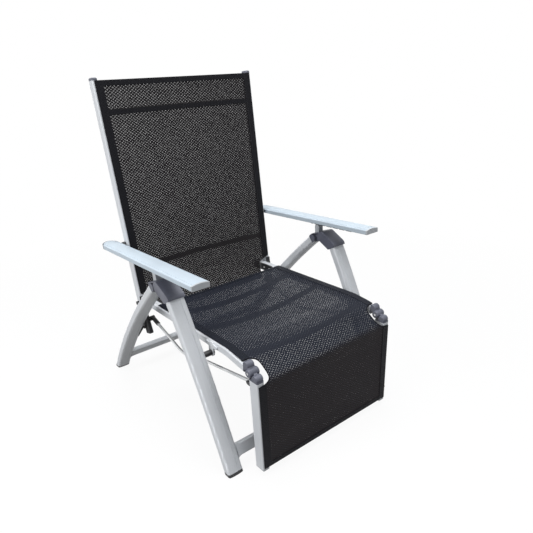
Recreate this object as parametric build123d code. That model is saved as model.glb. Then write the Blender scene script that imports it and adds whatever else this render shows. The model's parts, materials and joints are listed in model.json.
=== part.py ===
"""Reclining garden armchair: aluminium side frames, stretched mesh, linked footrest and armrests.

The sitter faces -Y, Z is up, and the sitter's left is +X. Points in the side view are (y, z) pairs,
measured from a line under the front of the seat rails, level with the rear feet. The drawn chair is then
leaned forward until its feet are flat on the floor, and moved so that its origin is the middle of its
footprint on the floor.
"""
import os
from math import asin, atan2, copysign, cos, degrees, hypot, radians, sin, sqrt, tan

from build123d import *

# Overall sizes
overall_width = 700.0
back_height = 1040.0
leg_spread = 805.0
apex_height = 530.0
seat_front_height = 380.0
floor_angle = 1.9
floor_front_rise = 25.0

# Turns and units
quarter_turn = 90.0
mm_per_m = 1000.0

# Fits
pin_clearance = 0.05
face_gap = 0.3
overrun = 40.0

# Stack of widths, from the outside in
armrest_width = 54.0
leg_inset = 2.0
front_leg_width = 51.0
rear_leg_inset = 7.0
rear_leg_width = 46.0
armrest_spacer_length = 10.0
back_tube_width = 18.0
hinge_gap = 1.5
rail_width = 24.0

# Legs, seen from the side
front_foot_reach = 14.0
front_leg_bow = 11.0
rear_leg_bow = 20.0
leg_depth = 28.0
leg_wall = 2.0
leg_crown = 2.0
leg_corner = 6.5
groove_radius = 1.8
groove_share = 1 / 6
foot_height = 9.0
apex_set_back = 311.0
front_cap_reach = 50.0
front_cap_drop = 22.0
rear_cap_reach = 48.0
rear_cap_drop = 18.0
leg_bar_height = 39.0
leg_bar_depth = 21.0
leg_bar_corner = 5.0
leg_bar_wall = 2.0
front_bar_rise = 80.0
rear_bar_rise = 71.0
bar_flare_length = 14.0
bar_flare_depth = 5.0

# Apex caps, their pins and the catch fins
front_cap_radius = 18.0
rear_cap_radius = 15.0
cap_lip = 1.5
cap_collar = 5.0
cheek_width = 11.0
roof_reach = 44.0
relief_angle = 30.0
apex_pin_radius = 5.0
tab_radius = 10.0
tab_set_back = 40.0
tab_clearance = 0.6
fin_width = 20.0

# Seat rails and crossbars
rail_depth = 26.0
rail_wall = 2.0
rail_corner = 5.0
rail_front = 2.0
rail_front_drop = 8.0
rail_bend = 85.0
rail_bend_radius = 160.0
rail_end_past_hinge = 18.0
crossbar_radius = 9.0
crossbar_wall = 1.6
crossbar_bow = 25.0
seat_bar_shares = (0.085, 0.435, 0.708)

# Recline hinge between seat rails and back tubes
hinge_set_back = 600.0
hinge_height = 343.0
hinge_pin_radius = 5.0
hinge_cap_radius = 7.0
hinge_cap_height = 8.0
hinge_plate_width = 6.0
hinge_plate_radius = 13.0
hinge_plate_reach = 82.0
washer_radius = 12.0
screw_set_off = 9.0
screw_pitch = 32.0
screw_head_radius = 3.6
screw_head_height = 1.8
rail_end_cap = 4.0

# Back tubes, seen from the side
back_tube_depth = 30.0
back_tube_wall = 2.0
back_tube_corner = 6.0
back_top_reach = 90.0
back_foot_reach = 33.0
back_foot_drop = 103.0
back_bend_radius = 320.0
back_cap_height = 8.0
fitting_drop = 48.0
back_cap_round = 4.0
upper_bar_drop = 88.0
lumbar_bar_rise = 117.0
lumbar_bow = 22.0
tube_bolt_radius = 4.0
tube_bolt_cap_radius = 6.0
tube_bolt_cap_height = 6.5
tube_bolt_drop = 28.0
tube_cover_depth = 2.4
tube_cover_drop = 14.0

# Link between back tubes and rear legs
link_drop = 81.0
link_pin_radius = 3.5
link_play = 3.8
link_eye_radius = 13.0
link_eye_rise = 5.0
link_plate_width = 2.4
link_plate_radius = 10.0
link_plate_length = 60.0
pin_entry = 8.0

# Seat pivot between seat brackets and front legs
seat_pivot_height = 350.0
bracket_width = 5.0
bracket_radius = 12.0
bracket_half_foot = 24.0
seat_pin_radius = 5.0
seat_pin_head_radius = 7.0
seat_pin_head_width = 3.5
seat_bush_radius = 9.0

# Armrests
armrest_height = 550.5
armrest_set_back = 632.0
armrest_front_reach = 548.0
armrest_rear_reach = 58.0
armrest_depth = 18.0
armrest_wall = 2.0
armrest_crown = 3.5
armrest_corner = 2.4
armrest_tilt = 5.5
armrest_groove_inset = 6.0
armrest_cap_length = 5.0
armrest_rim = 3.0
armrest_bolt_radius = 4.0
armrest_bolt_entry = 22.0
armrest_spacer_radius = 9.0
rack_width = 30.0
rack_depth = 5.0
rack_start = 268.0
rack_length = 200.0
rack_pitch = 31.0
notch_radius = 3.6

# Footrest and its knuckles
knuckle_reach = 26.0
knuckle_drop = 4.0
pin_bead_radius = 12.2
lobe_radius = 12.0
bead_overhang = 5.0
bead_round = 3.0
neck_radius = 7.0
lobe_reach = 16.0
lobe_rise = 16.0
front_lobe_reach = 22.0
front_lobe_drop = 11.0
knuckle_cheek = 6.0
rail_end_plate = 3.0
footrest_pin_radius = 3.5
footrest_tube_depth = 38.0
footrest_tube_corner = 4.0
footrest_top_drop = 20.0
footrest_top_reach = 17.0
footrest_length = 300.0
footrest_low_reach = 15.0
footrest_cap = 6.0
footrest_cap_round = 3.5
footrest_collar = 4.0
footrest_bar_radius = 8.0
footrest_bar_bow = 18.0
footrest_bar_shares = (0.31, 0.93)

# Push rods
rod_radius = 5.0
rod_pivot_drop = 60.0
rod_pivot_reach = 7.0
rod_pin_radius = 4.0
rod_eye_radius = 8.5
rod_eye_width = 11.0
rod_socket_radius = 7.5
rod_socket_length = 38.0
rod_dip_reach = 205.0
rod_dip_drop = 52.0
rod_rise_reach = 358.0
rod_rise_drop = 4.0
rod_bend_radius = 120.0
rod_end_reach = 11.0
rod_end_drop = 37.0
rod_play = 2.2
lug_width = 4.5
lug_radius = 6.5
lug_root = 12.0

# Fabric
fabric_thickness = 2.4
fabric_edge_inset = 6.0
fabric_show = 4.0
fabric_bend_radius = 50.0
knee_bend_radius = 8.0
knee_gap = 2.5
lip_set_back = 7.0
lip_rise = 18.0
shin_drop = 20.0
shin_gap = 5.0
seat_fabric_back_gap = 103.0
cutout_inset = 24.0
cutout_set_back = 4.0
back_tongue_gap = 2.5
back_fabric_notch_rise = 28.0
back_fabric_drop = 45.0
footrest_fabric_end = 6.0

# Widths measured from the middle plane
armrest_outer = overall_width / 2
armrest_inner = armrest_outer - armrest_width
front_leg_outer = armrest_outer - leg_inset
front_leg_inner = front_leg_outer - front_leg_width
rear_leg_outer = armrest_outer - rear_leg_inset
rear_leg_inner = rear_leg_outer - rear_leg_width
tube_outer = armrest_inner - armrest_spacer_length
tube_inner = tube_outer - back_tube_width
rail_outer = tube_inner - hinge_gap
rail_inner = rail_outer - rail_width
armrest_x = (armrest_outer + armrest_inner) / 2
front_leg_x = (front_leg_outer + front_leg_inner) / 2
rear_leg_x = (rear_leg_outer + rear_leg_inner) / 2
tube_x = (tube_outer + tube_inner) / 2
rail_x = (rail_outer + rail_inner) / 2
cap_inner = front_leg_inner - cap_lip
cap_outer = front_leg_outer + cap_lip
fabric_half = rail_outer - fabric_show
fabric_waist = rail_inner - cutout_inset
back_tongue_half = rail_inner - hinge_plate_width - back_tongue_gap
back_fabric_half = tube_outer - fabric_edge_inset
room = overall_width + back_height + leg_spread


def plus(point, reach, rise):
    """Point moved by a reach along y and a rise along z."""
    return (point[0] + reach, point[1] + rise)


def between(first, second):
    """Middle of two points."""
    return ((first[0] + second[0]) / 2, (first[1] + second[1]) / 2)


def spread(first, second):
    """Distance between two points."""
    return hypot(second[0] - first[0], second[1] - first[1])


def along(first, second, distance):
    """Point at a distance from the first point towards the second."""
    share = distance / spread(first, second)
    return (first[0] + share * (second[0] - first[0]), first[1] + share * (second[1] - first[1]))


def beside(first, second, point, distance):
    """Point set off to the left of the line from first to second."""
    length = spread(first, second)
    rise, run = second[1] - first[1], second[0] - first[0]
    return plus(point, -distance * rise / length, distance * run / length)


def around(centre, radius, angle):
    """Point on a circle, the angle in degrees from +Y towards +Z."""
    return plus(centre, radius * cos(radians(angle)), radius * sin(radians(angle)))


def crossing(first, second, third, fourth):
    """Point where the line first-second meets the line third-fourth."""
    run, rise = second[0] - first[0], second[1] - first[1]
    other_run, other_rise = fourth[0] - third[0], fourth[1] - third[1]
    share = (third[0] - first[0]) * other_rise - (third[1] - first[1]) * other_run
    share /= run * other_rise - rise * other_run
    return plus(first, share * run, share * rise)


def height_on(first, second, reach):
    """Height of the line first-second at a reach along y."""
    return first[1] + (second[1] - first[1]) * (reach - first[0]) / (second[0] - first[0])


def reach_on(first, second, height):
    """Reach along y of the line first-second at a height."""
    return first[0] + (second[0] - first[0]) * (height - first[1]) / (second[1] - first[1])


class Bow:
    """Arc of a bowed leg in the side view, from its foot on the floor to its top end."""

    def __init__(self, foot, top, bow):
        self.foot, self.top = foot, top
        half_chord = spread(foot, top) / 2
        self.radius = (half_chord * half_chord + bow * bow) / (2 * abs(bow))
        self.centre = beside(foot, top, between(foot, top), bow - copysign(self.radius, bow))
        self.side = copysign(1, between(foot, top)[0] - self.centre[0])

    def reach_at(self, height, outward):
        """Reach of the arc at a height, moved outward from its centre line."""
        drop, radius = height - self.centre[1], self.radius + outward
        return self.centre[0] + self.side * sqrt(radius * radius - drop * drop)

    def point(self, height):
        """Point of the centre line at a height."""
        return (self.reach_at(height, 0), height)

    def lean(self, height):
        """Lean of the centre line from upright, in degrees, towards +Y."""
        drop = height - self.centre[1]
        return -self.side * degrees(atan2(drop, sqrt(self.radius * self.radius - drop * drop)))

    def bar(self, section, x):
        """Solid with a section, from below the floor to the top end, in the plane at x."""
        low = self.point(-overrun)
        return turned(section, low, self.centre, angle_at(self.centre, low, self.top), x)


# Joints and guiding points of the side view
front_foot = (-front_foot_reach, 0)
rear_foot = plus(front_foot, leg_spread, 0)
apex = plus(front_foot, apex_set_back, apex_height)
front_bow = Bow(front_foot, plus(apex, -front_cap_reach, -front_cap_drop), front_leg_bow)
rear_bow = Bow(rear_foot, plus(apex, rear_cap_reach, -rear_cap_drop), -rear_leg_bow)
hinge = (hinge_set_back, hinge_height)
rail_points = (
    (rail_front, seat_front_height - rail_front_drop),
    (rail_bend, seat_front_height),
    along(hinge, (rail_bend, seat_front_height), -rail_end_past_hinge),
)
tube_points = (
    plus(hinge, -back_foot_reach, -back_foot_drop),
    hinge,
    (hinge_set_back + back_top_reach, back_height),
)
seat_pivot = front_bow.point(seat_pivot_height)


def tube_point(height):
    """Point of the back tubes' line at a height."""
    line = tube_points[:2] if height < hinge_height else tube_points[1:]
    return (reach_on(*line, height), height)


link_height = hinge_height - link_drop
link = between(rear_bow.point(link_height), tube_point(link_height))
rod_pivot = plus(tube_point(hinge_height - rod_pivot_drop), -rod_pivot_reach, 0)
fitting_top = tube_point(hinge_height - fitting_drop)
tube_bolt = tube_point(hinge_height - tube_bolt_drop)
knuckle = plus(rail_points[0], -knuckle_reach, -knuckle_drop)
rail_lobe = plus(knuckle, lobe_reach, lobe_rise)
front_lobe = plus(knuckle, -front_lobe_reach, -front_lobe_drop)
rod_end = plus(knuckle, rod_end_reach, -rod_end_drop)
footrest_top = plus(knuckle, -footrest_top_reach, -footrest_top_drop)
footrest_bottom = plus(footrest_top, -footrest_low_reach, -footrest_length)
armrest_pivot = (armrest_set_back, armrest_height)
tilt = radians(armrest_tilt)
tab_reach = apex[0] + tab_set_back
rack_face = armrest_height - (tab_reach - armrest_set_back) * sin(tilt) / cos(tilt)
tab = (tab_reach, rack_face - (armrest_depth / 2 + rack_depth + tab_radius + tab_clearance) / cos(tilt))
middle_reach = (rear_foot[0] + footrest_bottom[0]) / 2


def disc(point, radius):
    """Round face in the side view."""
    return Pos(*point) * Circle(radius)


def capsule(first, second, radius):
    """Two equal round ends joined by straight sides."""
    middle = between(first, second)
    turn = degrees(atan2(second[1] - first[1], second[0] - first[0]))
    bar = Pos(*middle) * Rot(0, 0, turn) * Rectangle(spread(first, second), 2 * radius)
    return disc(first, radius) + disc(second, radius) + bar


def slice_x(face, start, end):
    """Solid with the given side-view outline from one x to another."""
    return extrude(Plane.YZ.offset(start) * face, amount=end - start)


def shaft(point, radius, start, end):
    """Round bar along x."""
    return slice_x(disc(point, radius), start, end)


def crowned(width, depth, crown, corner):
    """Section with a flat back and a softly bowed face towards negative v."""
    side, edge = width / 2, crown - depth / 2
    flats = Polyline((side, edge), (side, depth / 2), (-side, depth / 2), (-side, edge))
    bow = ThreePointArc((-side, edge), (0, -depth / 2), (side, edge))
    face = make_face(flats + bow)
    return fillet(face.vertices(), corner)


def angle_at(centre, first, second):
    """Angle at a centre from one point to another, in degrees, positive from +Y towards +Z."""
    start = atan2(first[1] - centre[1], first[0] - centre[0])
    end = atan2(second[1] - centre[1], second[0] - centre[0])
    return degrees(atan2(sin(end - start), cos(end - start)))


def turned(section, start, centre, angle, x):
    """Solid that a section makes when it turns about a line across the chair, in the plane at x."""
    sign = copysign(1, angle)
    heading = (0, sign * (centre[1] - start[1]), sign * (start[0] - centre[0]))
    plane = Plane(origin=(x, *start), x_dir=(1, 0, 0), z_dir=heading)
    return revolve(plane * section, axis=Axis((x, *centre), (sign, 0, 0)), revolution_arc=abs(angle))


def straight_bar(section, first, second, x):
    """Straight solid with a section from one point to another, in the plane at x."""
    heading = (0, second[0] - first[0], second[1] - first[1])
    plane = Plane(origin=(x, *first), x_dir=(1, 0, 0), z_dir=heading)
    return extrude(plane * section, amount=spread(first, second))


def bent(section, points, radius, x):
    """Straight runs joined by round bends, in the plane at x."""
    solid, last = None, points[0]
    for before, corner, after in zip(points, points[1:], points[2:]):
        turn = angle_at((0, 0), (corner[0] - before[0], corner[1] - before[1]),
                        (after[0] - corner[0], after[1] - corner[1]))
        reach = radius * tan(radians(abs(turn)) / 2)
        start = along(corner, before, reach)
        centre = beside(before, corner, start, copysign(radius, turn))
        piece = straight_bar(section, last, start, x) + turned(section, start, centre, turn, x)
        solid = piece if solid is None else solid + piece
        last = along(corner, after, reach)
    return solid + straight_bar(section, last, points[-1], x)


def set_off(points, distance):
    """Three points of a bent line moved to its left by a distance."""
    first, corner, last = points
    near_line = (beside(first, corner, first, distance), beside(first, corner, corner, distance))
    far_line = (beside(corner, last, corner, distance), beside(corner, last, last, distance))
    return (near_line[0], crossing(*near_line, *far_line), far_line[1])


def level_slab(low, high):
    """Wide block between two heights of the side view."""
    middle = (middle_reach, (low + high) / 2)
    return Pos(0, *middle) * Box(2 * room, 2 * room, high - low)


def floor_layer(low, high):
    """Wide block between two heights above the floor that the feet stand on."""
    ground = Pos(0, front_foot[0], floor_front_rise) * Rot(-floor_angle, 0, 0)
    return ground * Pos(0, 0, (low + high) / 2) * Box(2 * room, 2 * room, high - low)


def width_slab(half):
    """Tall block between two mirrored side planes."""
    return Pos(0, middle_reach, back_height / 2) * Box(2 * half, 2 * room, 2 * room)


def other_side(solid):
    """Mirror image across the middle plane."""
    return mirror(solid, about=Plane.YZ)


def both_sides(solid):
    """The solid and its mirror image as one group."""
    return Compound([*solid.solids(), *other_side(solid).solids()])


def leg_section(width):
    """Outside of a leg's section, without its groove."""
    return crowned(width, leg_depth, leg_crown, leg_corner)


def leg_full(bow, width, x):
    """Leg as a full bar, from below the floor to its top end."""
    return bow.bar(leg_section(width), x)


def leg_tube(bow, width, x, groove_side):
    """Hollow bowed leg with one long groove in its crowned face, standing on its foot."""
    groove = Pos(groove_side * width * groove_share, -leg_depth / 2) * Circle(groove_radius)
    skin = bow.bar(leg_section(width) - groove, x)
    core_depth = leg_depth - leg_crown - 2 * leg_wall
    core = Pos(0, leg_crown / 2) * RectangleRounded(width - 2 * leg_wall, core_depth, leg_corner - leg_wall)
    return (skin - bow.bar(core, x)) & floor_layer(foot_height, room)


def leg_foot(bow, width, x):
    """Plastic foot with a flat sole, under a leg."""
    return leg_full(bow, width, x) & floor_layer(0, foot_height)


def make_front_leg():
    """Left front leg with the hole for the seat pivot pin in its inner wall."""
    leg = leg_tube(front_bow, front_leg_width, front_leg_x, -1)
    hole = shaft(seat_pivot, seat_pin_radius + pin_clearance, rail_outer, front_leg_inner + pin_entry)
    return leg - hole


def make_rear_leg():
    """Left rear leg with the hole for the link pin in its inner wall."""
    leg = leg_tube(rear_bow, rear_leg_width, rear_leg_x, -1)
    return leg - shaft(link, link_pin_radius + pin_clearance, tube_outer, rear_leg_inner + pin_entry)


def make_leg_bar(bow, rise, half):
    """Flat crossbar between two legs, in line with their front faces, flared where it meets them."""
    inner = half - bar_flare_length
    low, flare = leg_bar_height / 2, leg_bar_height / 2 + bar_flare_depth
    edges = Line((half, flare), (half, -flare)) + Line((-half, flare), (-half, -flare))
    for up in (-1, 1):
        edges += Line((-inner, up * low), (inner, up * low))
        for side in (-1, 1):
            edges += TangentArc((side * inner, up * low), (side * half, up * flare), tangent=(side, 0))
    face = make_face(edges)
    bar = extrude(face, amount=leg_bar_depth / 2, both=True)
    bar = fillet(bar.edges().filter_by(GeomType.LINE).filter_by(Axis.X), leg_bar_corner)
    core = Box(2 * half, leg_bar_height - 2 * leg_bar_wall, leg_bar_depth - 2 * leg_bar_wall)
    bar -= fillet(core.edges().filter_by(Axis.X), leg_bar_corner - leg_bar_wall)
    place = bow.point(rise)
    return Pos(0, *place) * Rot(quarter_turn - bow.lean(rise), 0, 0) * bar


def below_cap(bow, width, x):
    """Block that takes in a leg below the collar of its cap."""
    low = bow.point(bow.top[1] - cap_collar)
    lower = bow.point(bow.top[1] - cap_collar - leg_depth)
    return straight_bar(Rectangle(2 * width, 2 * leg_depth), low, lower, x)


def tongue_sweep():
    """Side view of the room that the rear leg's tongue needs as it turns down at the apex."""
    radius, reach = rear_cap_radius + face_gap, 2 * spread(apex, rear_bow.top)
    start = angle_at(apex, plus(apex, reach, 0), rear_bow.top)
    ends = [around(apex, reach, start - step * relief_angle) for step in range(3)]
    return [capsule(apex, end, radius) for end in ends]


def roof_outline():
    """Side view of the front cap's rear half, over the rear leg's tongue."""
    return capsule(apex, along(apex, rear_bow.top, roof_reach), front_cap_radius)


def make_apex_front_cap():
    """Left arched cap on the front leg: two cheeks beside the rear leg's tongue and a roof over it."""
    cap = slice_x(capsule(front_bow.top, apex, front_cap_radius), cap_inner, cap_outer)
    roof = slice_x(roof_outline(), cap_inner, cap_outer)
    for outline in tongue_sweep():
        roof -= slice_x(outline, cap_inner - overrun, cap_outer + overrun)
        cap -= slice_x(outline, cap_inner + cheek_width, cap_outer - cheek_width)
    cap = cap + roof - leg_full(front_bow, front_leg_width, front_leg_x)
    cap -= below_cap(front_bow, front_leg_width, front_leg_x)
    return cap - shaft(apex, apex_pin_radius + pin_clearance, cap_inner - overrun, cap_outer + overrun)


def make_catch_fin():
    """Left fin on the front cap's roof, which the armrest rests on and slides over."""
    root = along(apex, rear_bow.top, tab_set_back)
    half = fin_width / 2
    fin = slice_x(capsule(tab, root, tab_radius), front_leg_x - half, front_leg_x + half)
    return fin - slice_x(roof_outline(), cap_inner, cap_outer)


def make_apex_rear_cap():
    """Left tongue on top of the rear leg, which turns between the cheeks of the front cap."""
    tongue_gap = cheek_width + face_gap
    outline = capsule(rear_bow.top, apex, rear_cap_radius)
    tongue = slice_x(outline, cap_inner + tongue_gap, cap_outer - tongue_gap)
    root = slice_x(disc(rear_bow.top, rear_cap_radius), rear_leg_inner - cap_lip, rear_leg_outer + cap_lip)
    cap = tongue + root - leg_full(rear_bow, rear_leg_width, rear_leg_x)
    cap -= below_cap(rear_bow, rear_leg_width, rear_leg_x)
    return cap - shaft(apex, apex_pin_radius + pin_clearance, cap_inner, cap_outer)


def make_apex_pin():
    """Left apex pin, flush with the cheeks."""
    return shaft(apex, apex_pin_radius, cap_inner, cap_outer)


def rounded_tube(width, depth, corner):
    """Outside of a tube's section."""
    return RectangleRounded(width, depth, corner)


def hollow_section(width, depth, corner, wall):
    """Section of a tube with its wall."""
    core = rounded_tube(width - 2 * wall, depth - 2 * wall, corner - wall)
    return rounded_tube(width, depth, corner) - core


def rail_full():
    """Left seat rail as a full bar."""
    return bent(rounded_tube(rail_width, rail_depth, rail_corner), rail_points, rail_bend_radius, rail_x)


def make_seat_rail():
    """Left seat rail, dipped at the front, with the hole for the recline pin."""
    section = hollow_section(rail_width, rail_depth, rail_corner, rail_wall)
    rail = bent(section, rail_points, rail_bend_radius, rail_x)
    return rail - shaft(hinge, hinge_pin_radius + pin_clearance, rail_inner - overrun, rail_outer + overrun)


def bowed_bar(place, half, radius, bow_reach, bow_rise):
    """Round tube between two side members, bowed in its middle."""
    bow = hypot(bow_reach, bow_rise)
    out = (bow_reach / bow, bow_rise / bow)
    bend = (half * half + bow * bow) / (2 * bow)
    centre = plus(place, out[0] * (bow - bend), out[1] * (bow - bend))
    swing = asin((half + crossbar_wall) / bend)
    start = Vector(-bend * sin(swing), *plus(centre, out[0] * bend * cos(swing), out[1] * bend * cos(swing)))
    plane = Plane(origin=start, z_dir=(cos(swing), out[0] * sin(swing), out[1] * sin(swing)))
    section = Circle(radius) - Circle(radius - crossbar_wall)
    axis = Axis((0, *centre), (0, out[1], -out[0]))
    return revolve(plane * section, axis=axis, revolution_arc=2 * degrees(swing)) & width_slab(half)


def make_seat_bar(share):
    """Seat crossbar at a share of the way from the rails' front to the recline hinge."""
    reach = rail_front + share * (hinge_set_back - rail_front)
    line = rail_points[1:] if reach > rail_bend else rail_points[:2]
    return bowed_bar((reach, height_on(*line, reach)), rail_inner, crossbar_radius, 0, -crossbar_bow)


def bead(point, radius, start, end):
    """Drum along x with rounded rims."""
    drum = shaft(point, radius, start, end)
    return fillet(drum.edges().filter_by(GeomType.CIRCLE), bead_round)


def make_rail_knuckle():
    """Left knuckle at the rail's front end: a bead, a neck and the two drums round the footrest pin."""
    inner, outer = rail_inner + knuckle_cheek, rail_outer - knuckle_cheek
    plate_end = along(rail_points[0], rail_points[1], -rail_end_plate)
    plate = straight_bar(rounded_tube(rail_width, rail_depth, rail_corner), rail_points[0], plate_end, rail_x)
    necks = capsule(rail_points[0], rail_lobe, neck_radius) + capsule(rail_lobe, knuckle, neck_radius)
    block = bead(rail_lobe, lobe_radius, rail_inner, rail_outer) + slice_x(necks, rail_inner, rail_outer)
    block += bead(knuckle, pin_bead_radius, rail_inner - bead_overhang, rail_outer + bead_overhang)
    block = block + plate - shaft(knuckle, pin_bead_radius + face_gap, inner, outer) - rail_full()
    hole = footrest_pin_radius + pin_clearance
    return block - shaft(knuckle, hole, rail_inner - overrun, rail_outer + overrun)


def make_pivot_bracket():
    """Left seat bracket: a plate on the rail's outer face that reaches down to the seat pivot."""
    height = height_on(rail_points[1], rail_points[2], seat_pivot[0])
    top = (seat_pivot[0], height)
    foot = capsule(plus(top, -bracket_half_foot, 0), plus(top, bracket_half_foot, 0), bracket_radius / 2)
    stem = capsule(top, seat_pivot, bracket_radius)
    plate = slice_x(foot + stem, rail_outer, rail_outer + bracket_width)
    return plate - shaft(seat_pivot, seat_pin_radius + pin_clearance, rail_inner, rail_outer + overrun)


def make_seat_pivot_pin():
    """Left seat pivot pin, headed inside the bracket and held in the front leg."""
    inner = rail_outer - face_gap
    pin = shaft(seat_pivot, seat_pin_radius, inner - seat_pin_head_width, front_leg_inner + pin_entry)
    return pin + shaft(seat_pivot, seat_pin_head_radius, inner - seat_pin_head_width, inner)


def make_seat_bush():
    """Left spacer bush on the seat pivot pin, between bracket and front leg."""
    start = rail_outer + bracket_width + face_gap
    bush = shaft(seat_pivot, seat_bush_radius, start, front_leg_inner)
    return bush - shaft(seat_pivot, seat_pin_radius + pin_clearance, start, front_leg_inner)


def make_hinge_plate():
    """Left moulded plate inside the rail's rear end, with the cap that closes the rail."""
    start = rail_inner - hinge_plate_width
    end = rail_points[2]
    cap_end = along(end, rail_points[1], -rail_end_cap)
    front = along(hinge, rail_points[1], hinge_plate_reach)
    plate = slice_x(capsule(front, end, hinge_plate_radius), start, rail_inner)
    cap = straight_bar(rounded_tube(rail_width, rail_depth, rail_corner), end, cap_end, rail_x)
    hole = hinge_pin_radius + pin_clearance
    return plate + cap - shaft(hinge, hole, start - overrun, rail_inner + overrun)


def make_hinge_screws():
    """Three screw heads on the left hinge plate."""
    face = rail_inner - hinge_plate_width
    shifts = [screw_set_off + step * screw_pitch for step in range(3)]
    places = [along(hinge, rail_points[1], shift) for shift in shifts]
    heads = [shaft(place, screw_head_radius, face - screw_head_height, face) for place in places]
    return Compound([solid for head in heads for solid in head.solids()])


def make_back_tube():
    """Left back tube, from its end fitting up, with holes for its pins."""
    section = hollow_section(back_tube_width, back_tube_depth, back_tube_corner, back_tube_wall)
    tube = bent(section, (fitting_top, *tube_points[1:]), back_bend_radius, tube_x)
    tube -= shaft(hinge, hinge_pin_radius + pin_clearance, tube_inner - overrun, tube_outer + overrun)
    tube -= shaft(tube_bolt, tube_bolt_radius + pin_clearance, tube_x, tube_outer + overrun)
    return tube - shaft(armrest_pivot, armrest_bolt_radius + pin_clearance, tube_x, tube_outer + overrun)


def end_cap(section, inner, outer, x, rounding):
    """Cap on a tube's end, from its seat to its rounded outer face."""
    cap = straight_bar(section, inner, outer, x)
    far = cap.faces().sort_by_distance(Vector(x, *outer))[0]
    return fillet(far.edges(), rounding)


def make_back_bar(height, bow):
    """Crossbar of the back at a height, bowed backwards."""
    return bowed_bar(tube_point(height), tube_inner, crossbar_radius, bow, 0)


def make_back_top_cap():
    """Left cap on top of the back tube."""
    section = rounded_tube(back_tube_width, back_tube_depth, back_tube_corner)
    outer = along(tube_points[2], tube_points[1], -back_cap_height)
    return end_cap(section, tube_points[2], outer, tube_x, back_cap_round)


def make_back_end_fitting():
    """Left moulded end of the back tube: it carries the rod pin and the wide eye round the link pin."""
    section = rounded_tube(back_tube_width, back_tube_depth, back_tube_corner)
    outer = along(tube_points[0], tube_points[1], -back_cap_height)
    fitting = end_cap(section, fitting_top, outer, tube_x, back_cap_round)
    fitting += shaft(link, link_eye_radius, tube_x, tube_outer + link_eye_rise)
    fitting -= shaft(link, link_pin_radius + link_play, tube_x, tube_outer + overrun)
    return fitting - shaft(rod_pivot, rod_pin_radius + pin_clearance, tube_inner - overrun, tube_x)


def make_recline_pin():
    """Left recline pin through hinge plate, rail, washer and back tube, capped outside."""
    pin = shaft(hinge, hinge_pin_radius, rail_inner - hinge_plate_width, tube_outer)
    return pin + shaft(hinge, hinge_cap_radius, tube_outer, tube_outer + hinge_cap_height)


def make_washer():
    """Left washer between rail and back tube, and the cover in front of the tube beside the hinge."""
    washer = shaft(hinge, washer_radius, rail_outer + face_gap, tube_inner)
    washer -= shaft(hinge, hinge_pin_radius + pin_clearance, rail_outer, tube_inner)
    place = -(back_tube_depth + tube_cover_depth) / 2
    section = Pos(0, place) * Rectangle(back_tube_width, tube_cover_depth)
    cover = bent(section, tube_points, back_bend_radius, tube_x)
    cover &= level_slab(hinge_height - tube_cover_drop, hinge_height + back_fabric_notch_rise - face_gap)
    return Compound([*washer.solids(), *cover.solids()])


def make_tube_bolt():
    """Left capped bolt below the recline pin."""
    bolt = shaft(tube_bolt, tube_bolt_radius, tube_x, tube_outer)
    return bolt + shaft(tube_bolt, tube_bolt_cap_radius, tube_outer, tube_outer + tube_bolt_cap_height)


def make_link_plate():
    """Left plastic plate on the rear leg's inner face, which carries the link pin."""
    low = rear_bow.point(link[1] - link_plate_length)
    plate = slice_x(capsule(link, low, link_plate_radius), rear_leg_inner - link_plate_width, rear_leg_inner)
    return plate - shaft(link, link_pin_radius + pin_clearance, tube_outer, rear_leg_inner)


def make_link_pin():
    """Left link pin, held in the rear leg and reaching into the back tube."""
    return shaft(link, link_pin_radius, tube_x, rear_leg_inner + pin_entry)


def make_armrest_spacer():
    """Left spacer between back tube and armrest."""
    end = armrest_inner - face_gap
    spacer = shaft(armrest_pivot, armrest_spacer_radius, tube_outer, end)
    return spacer - shaft(armrest_pivot, armrest_bolt_radius + pin_clearance, tube_outer, end)


def make_armrest_bolt():
    """Left bolt that the armrest turns on."""
    return shaft(armrest_pivot, armrest_bolt_radius, tube_x, armrest_inner + armrest_bolt_entry)


def armrest_place():
    """Place of the left armrest, whose own frame has the pivot as its origin."""
    return Pos(armrest_x, *armrest_pivot) * Rot(-armrest_tilt, 0, 0)


def armrest_bar(section, start, end):
    """Bar along the armrest's own length."""
    plane = Plane(origin=(0, start, 0), x_dir=(1, 0, 0), z_dir=(0, 1, 0))
    return extrude(plane * section, amount=end - start)


def armrest_plan(half, start, end):
    """Upright block with a round rear end, seen from above."""
    turn = end - half
    block = Pos(0, (start + turn) / 2) * Rectangle(2 * half, turn - start) + Pos(0, turn) * Circle(half)
    return extrude(block, amount=room, both=True)


def armrest_section(grooves):
    """Crowned section of the armrest, with a groove near each edge where wanted."""
    section = crowned(armrest_width, armrest_depth, armrest_crown, armrest_corner)
    if grooves:
        for side in (-1, 1):
            place = side * (armrest_width / 2 - armrest_groove_inset)
            section -= Pos(place, armrest_crown / 2 - armrest_depth / 2) * Circle(groove_radius)
    return section


def make_armrest():
    """Left armrest plank: hollow, crowned, round behind, with the hole for its bolt."""
    front, rear = armrest_cap_length - armrest_front_reach, armrest_rear_reach
    half = armrest_width / 2
    inside = armrest_plan(half - armrest_rim, front - room, rear - armrest_rim)
    round_end = armrest_bar(armrest_section(True), front, rear) & inside
    long_run = armrest_bar(armrest_section(True), front, rear - half)
    core_depth = armrest_depth - armrest_crown - 2 * armrest_wall
    core_face = RectangleRounded(armrest_width - 2 * armrest_wall, core_depth, armrest_wall / 2)
    core = armrest_bar(Pos(0, armrest_crown / 2) * core_face, front - overrun, rear - half)
    plank = armrest_place() * (round_end + long_run - core)
    hole = armrest_bolt_radius + pin_clearance
    return plank - shaft(armrest_pivot, hole, tube_outer, armrest_inner + armrest_bolt_entry)


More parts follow.
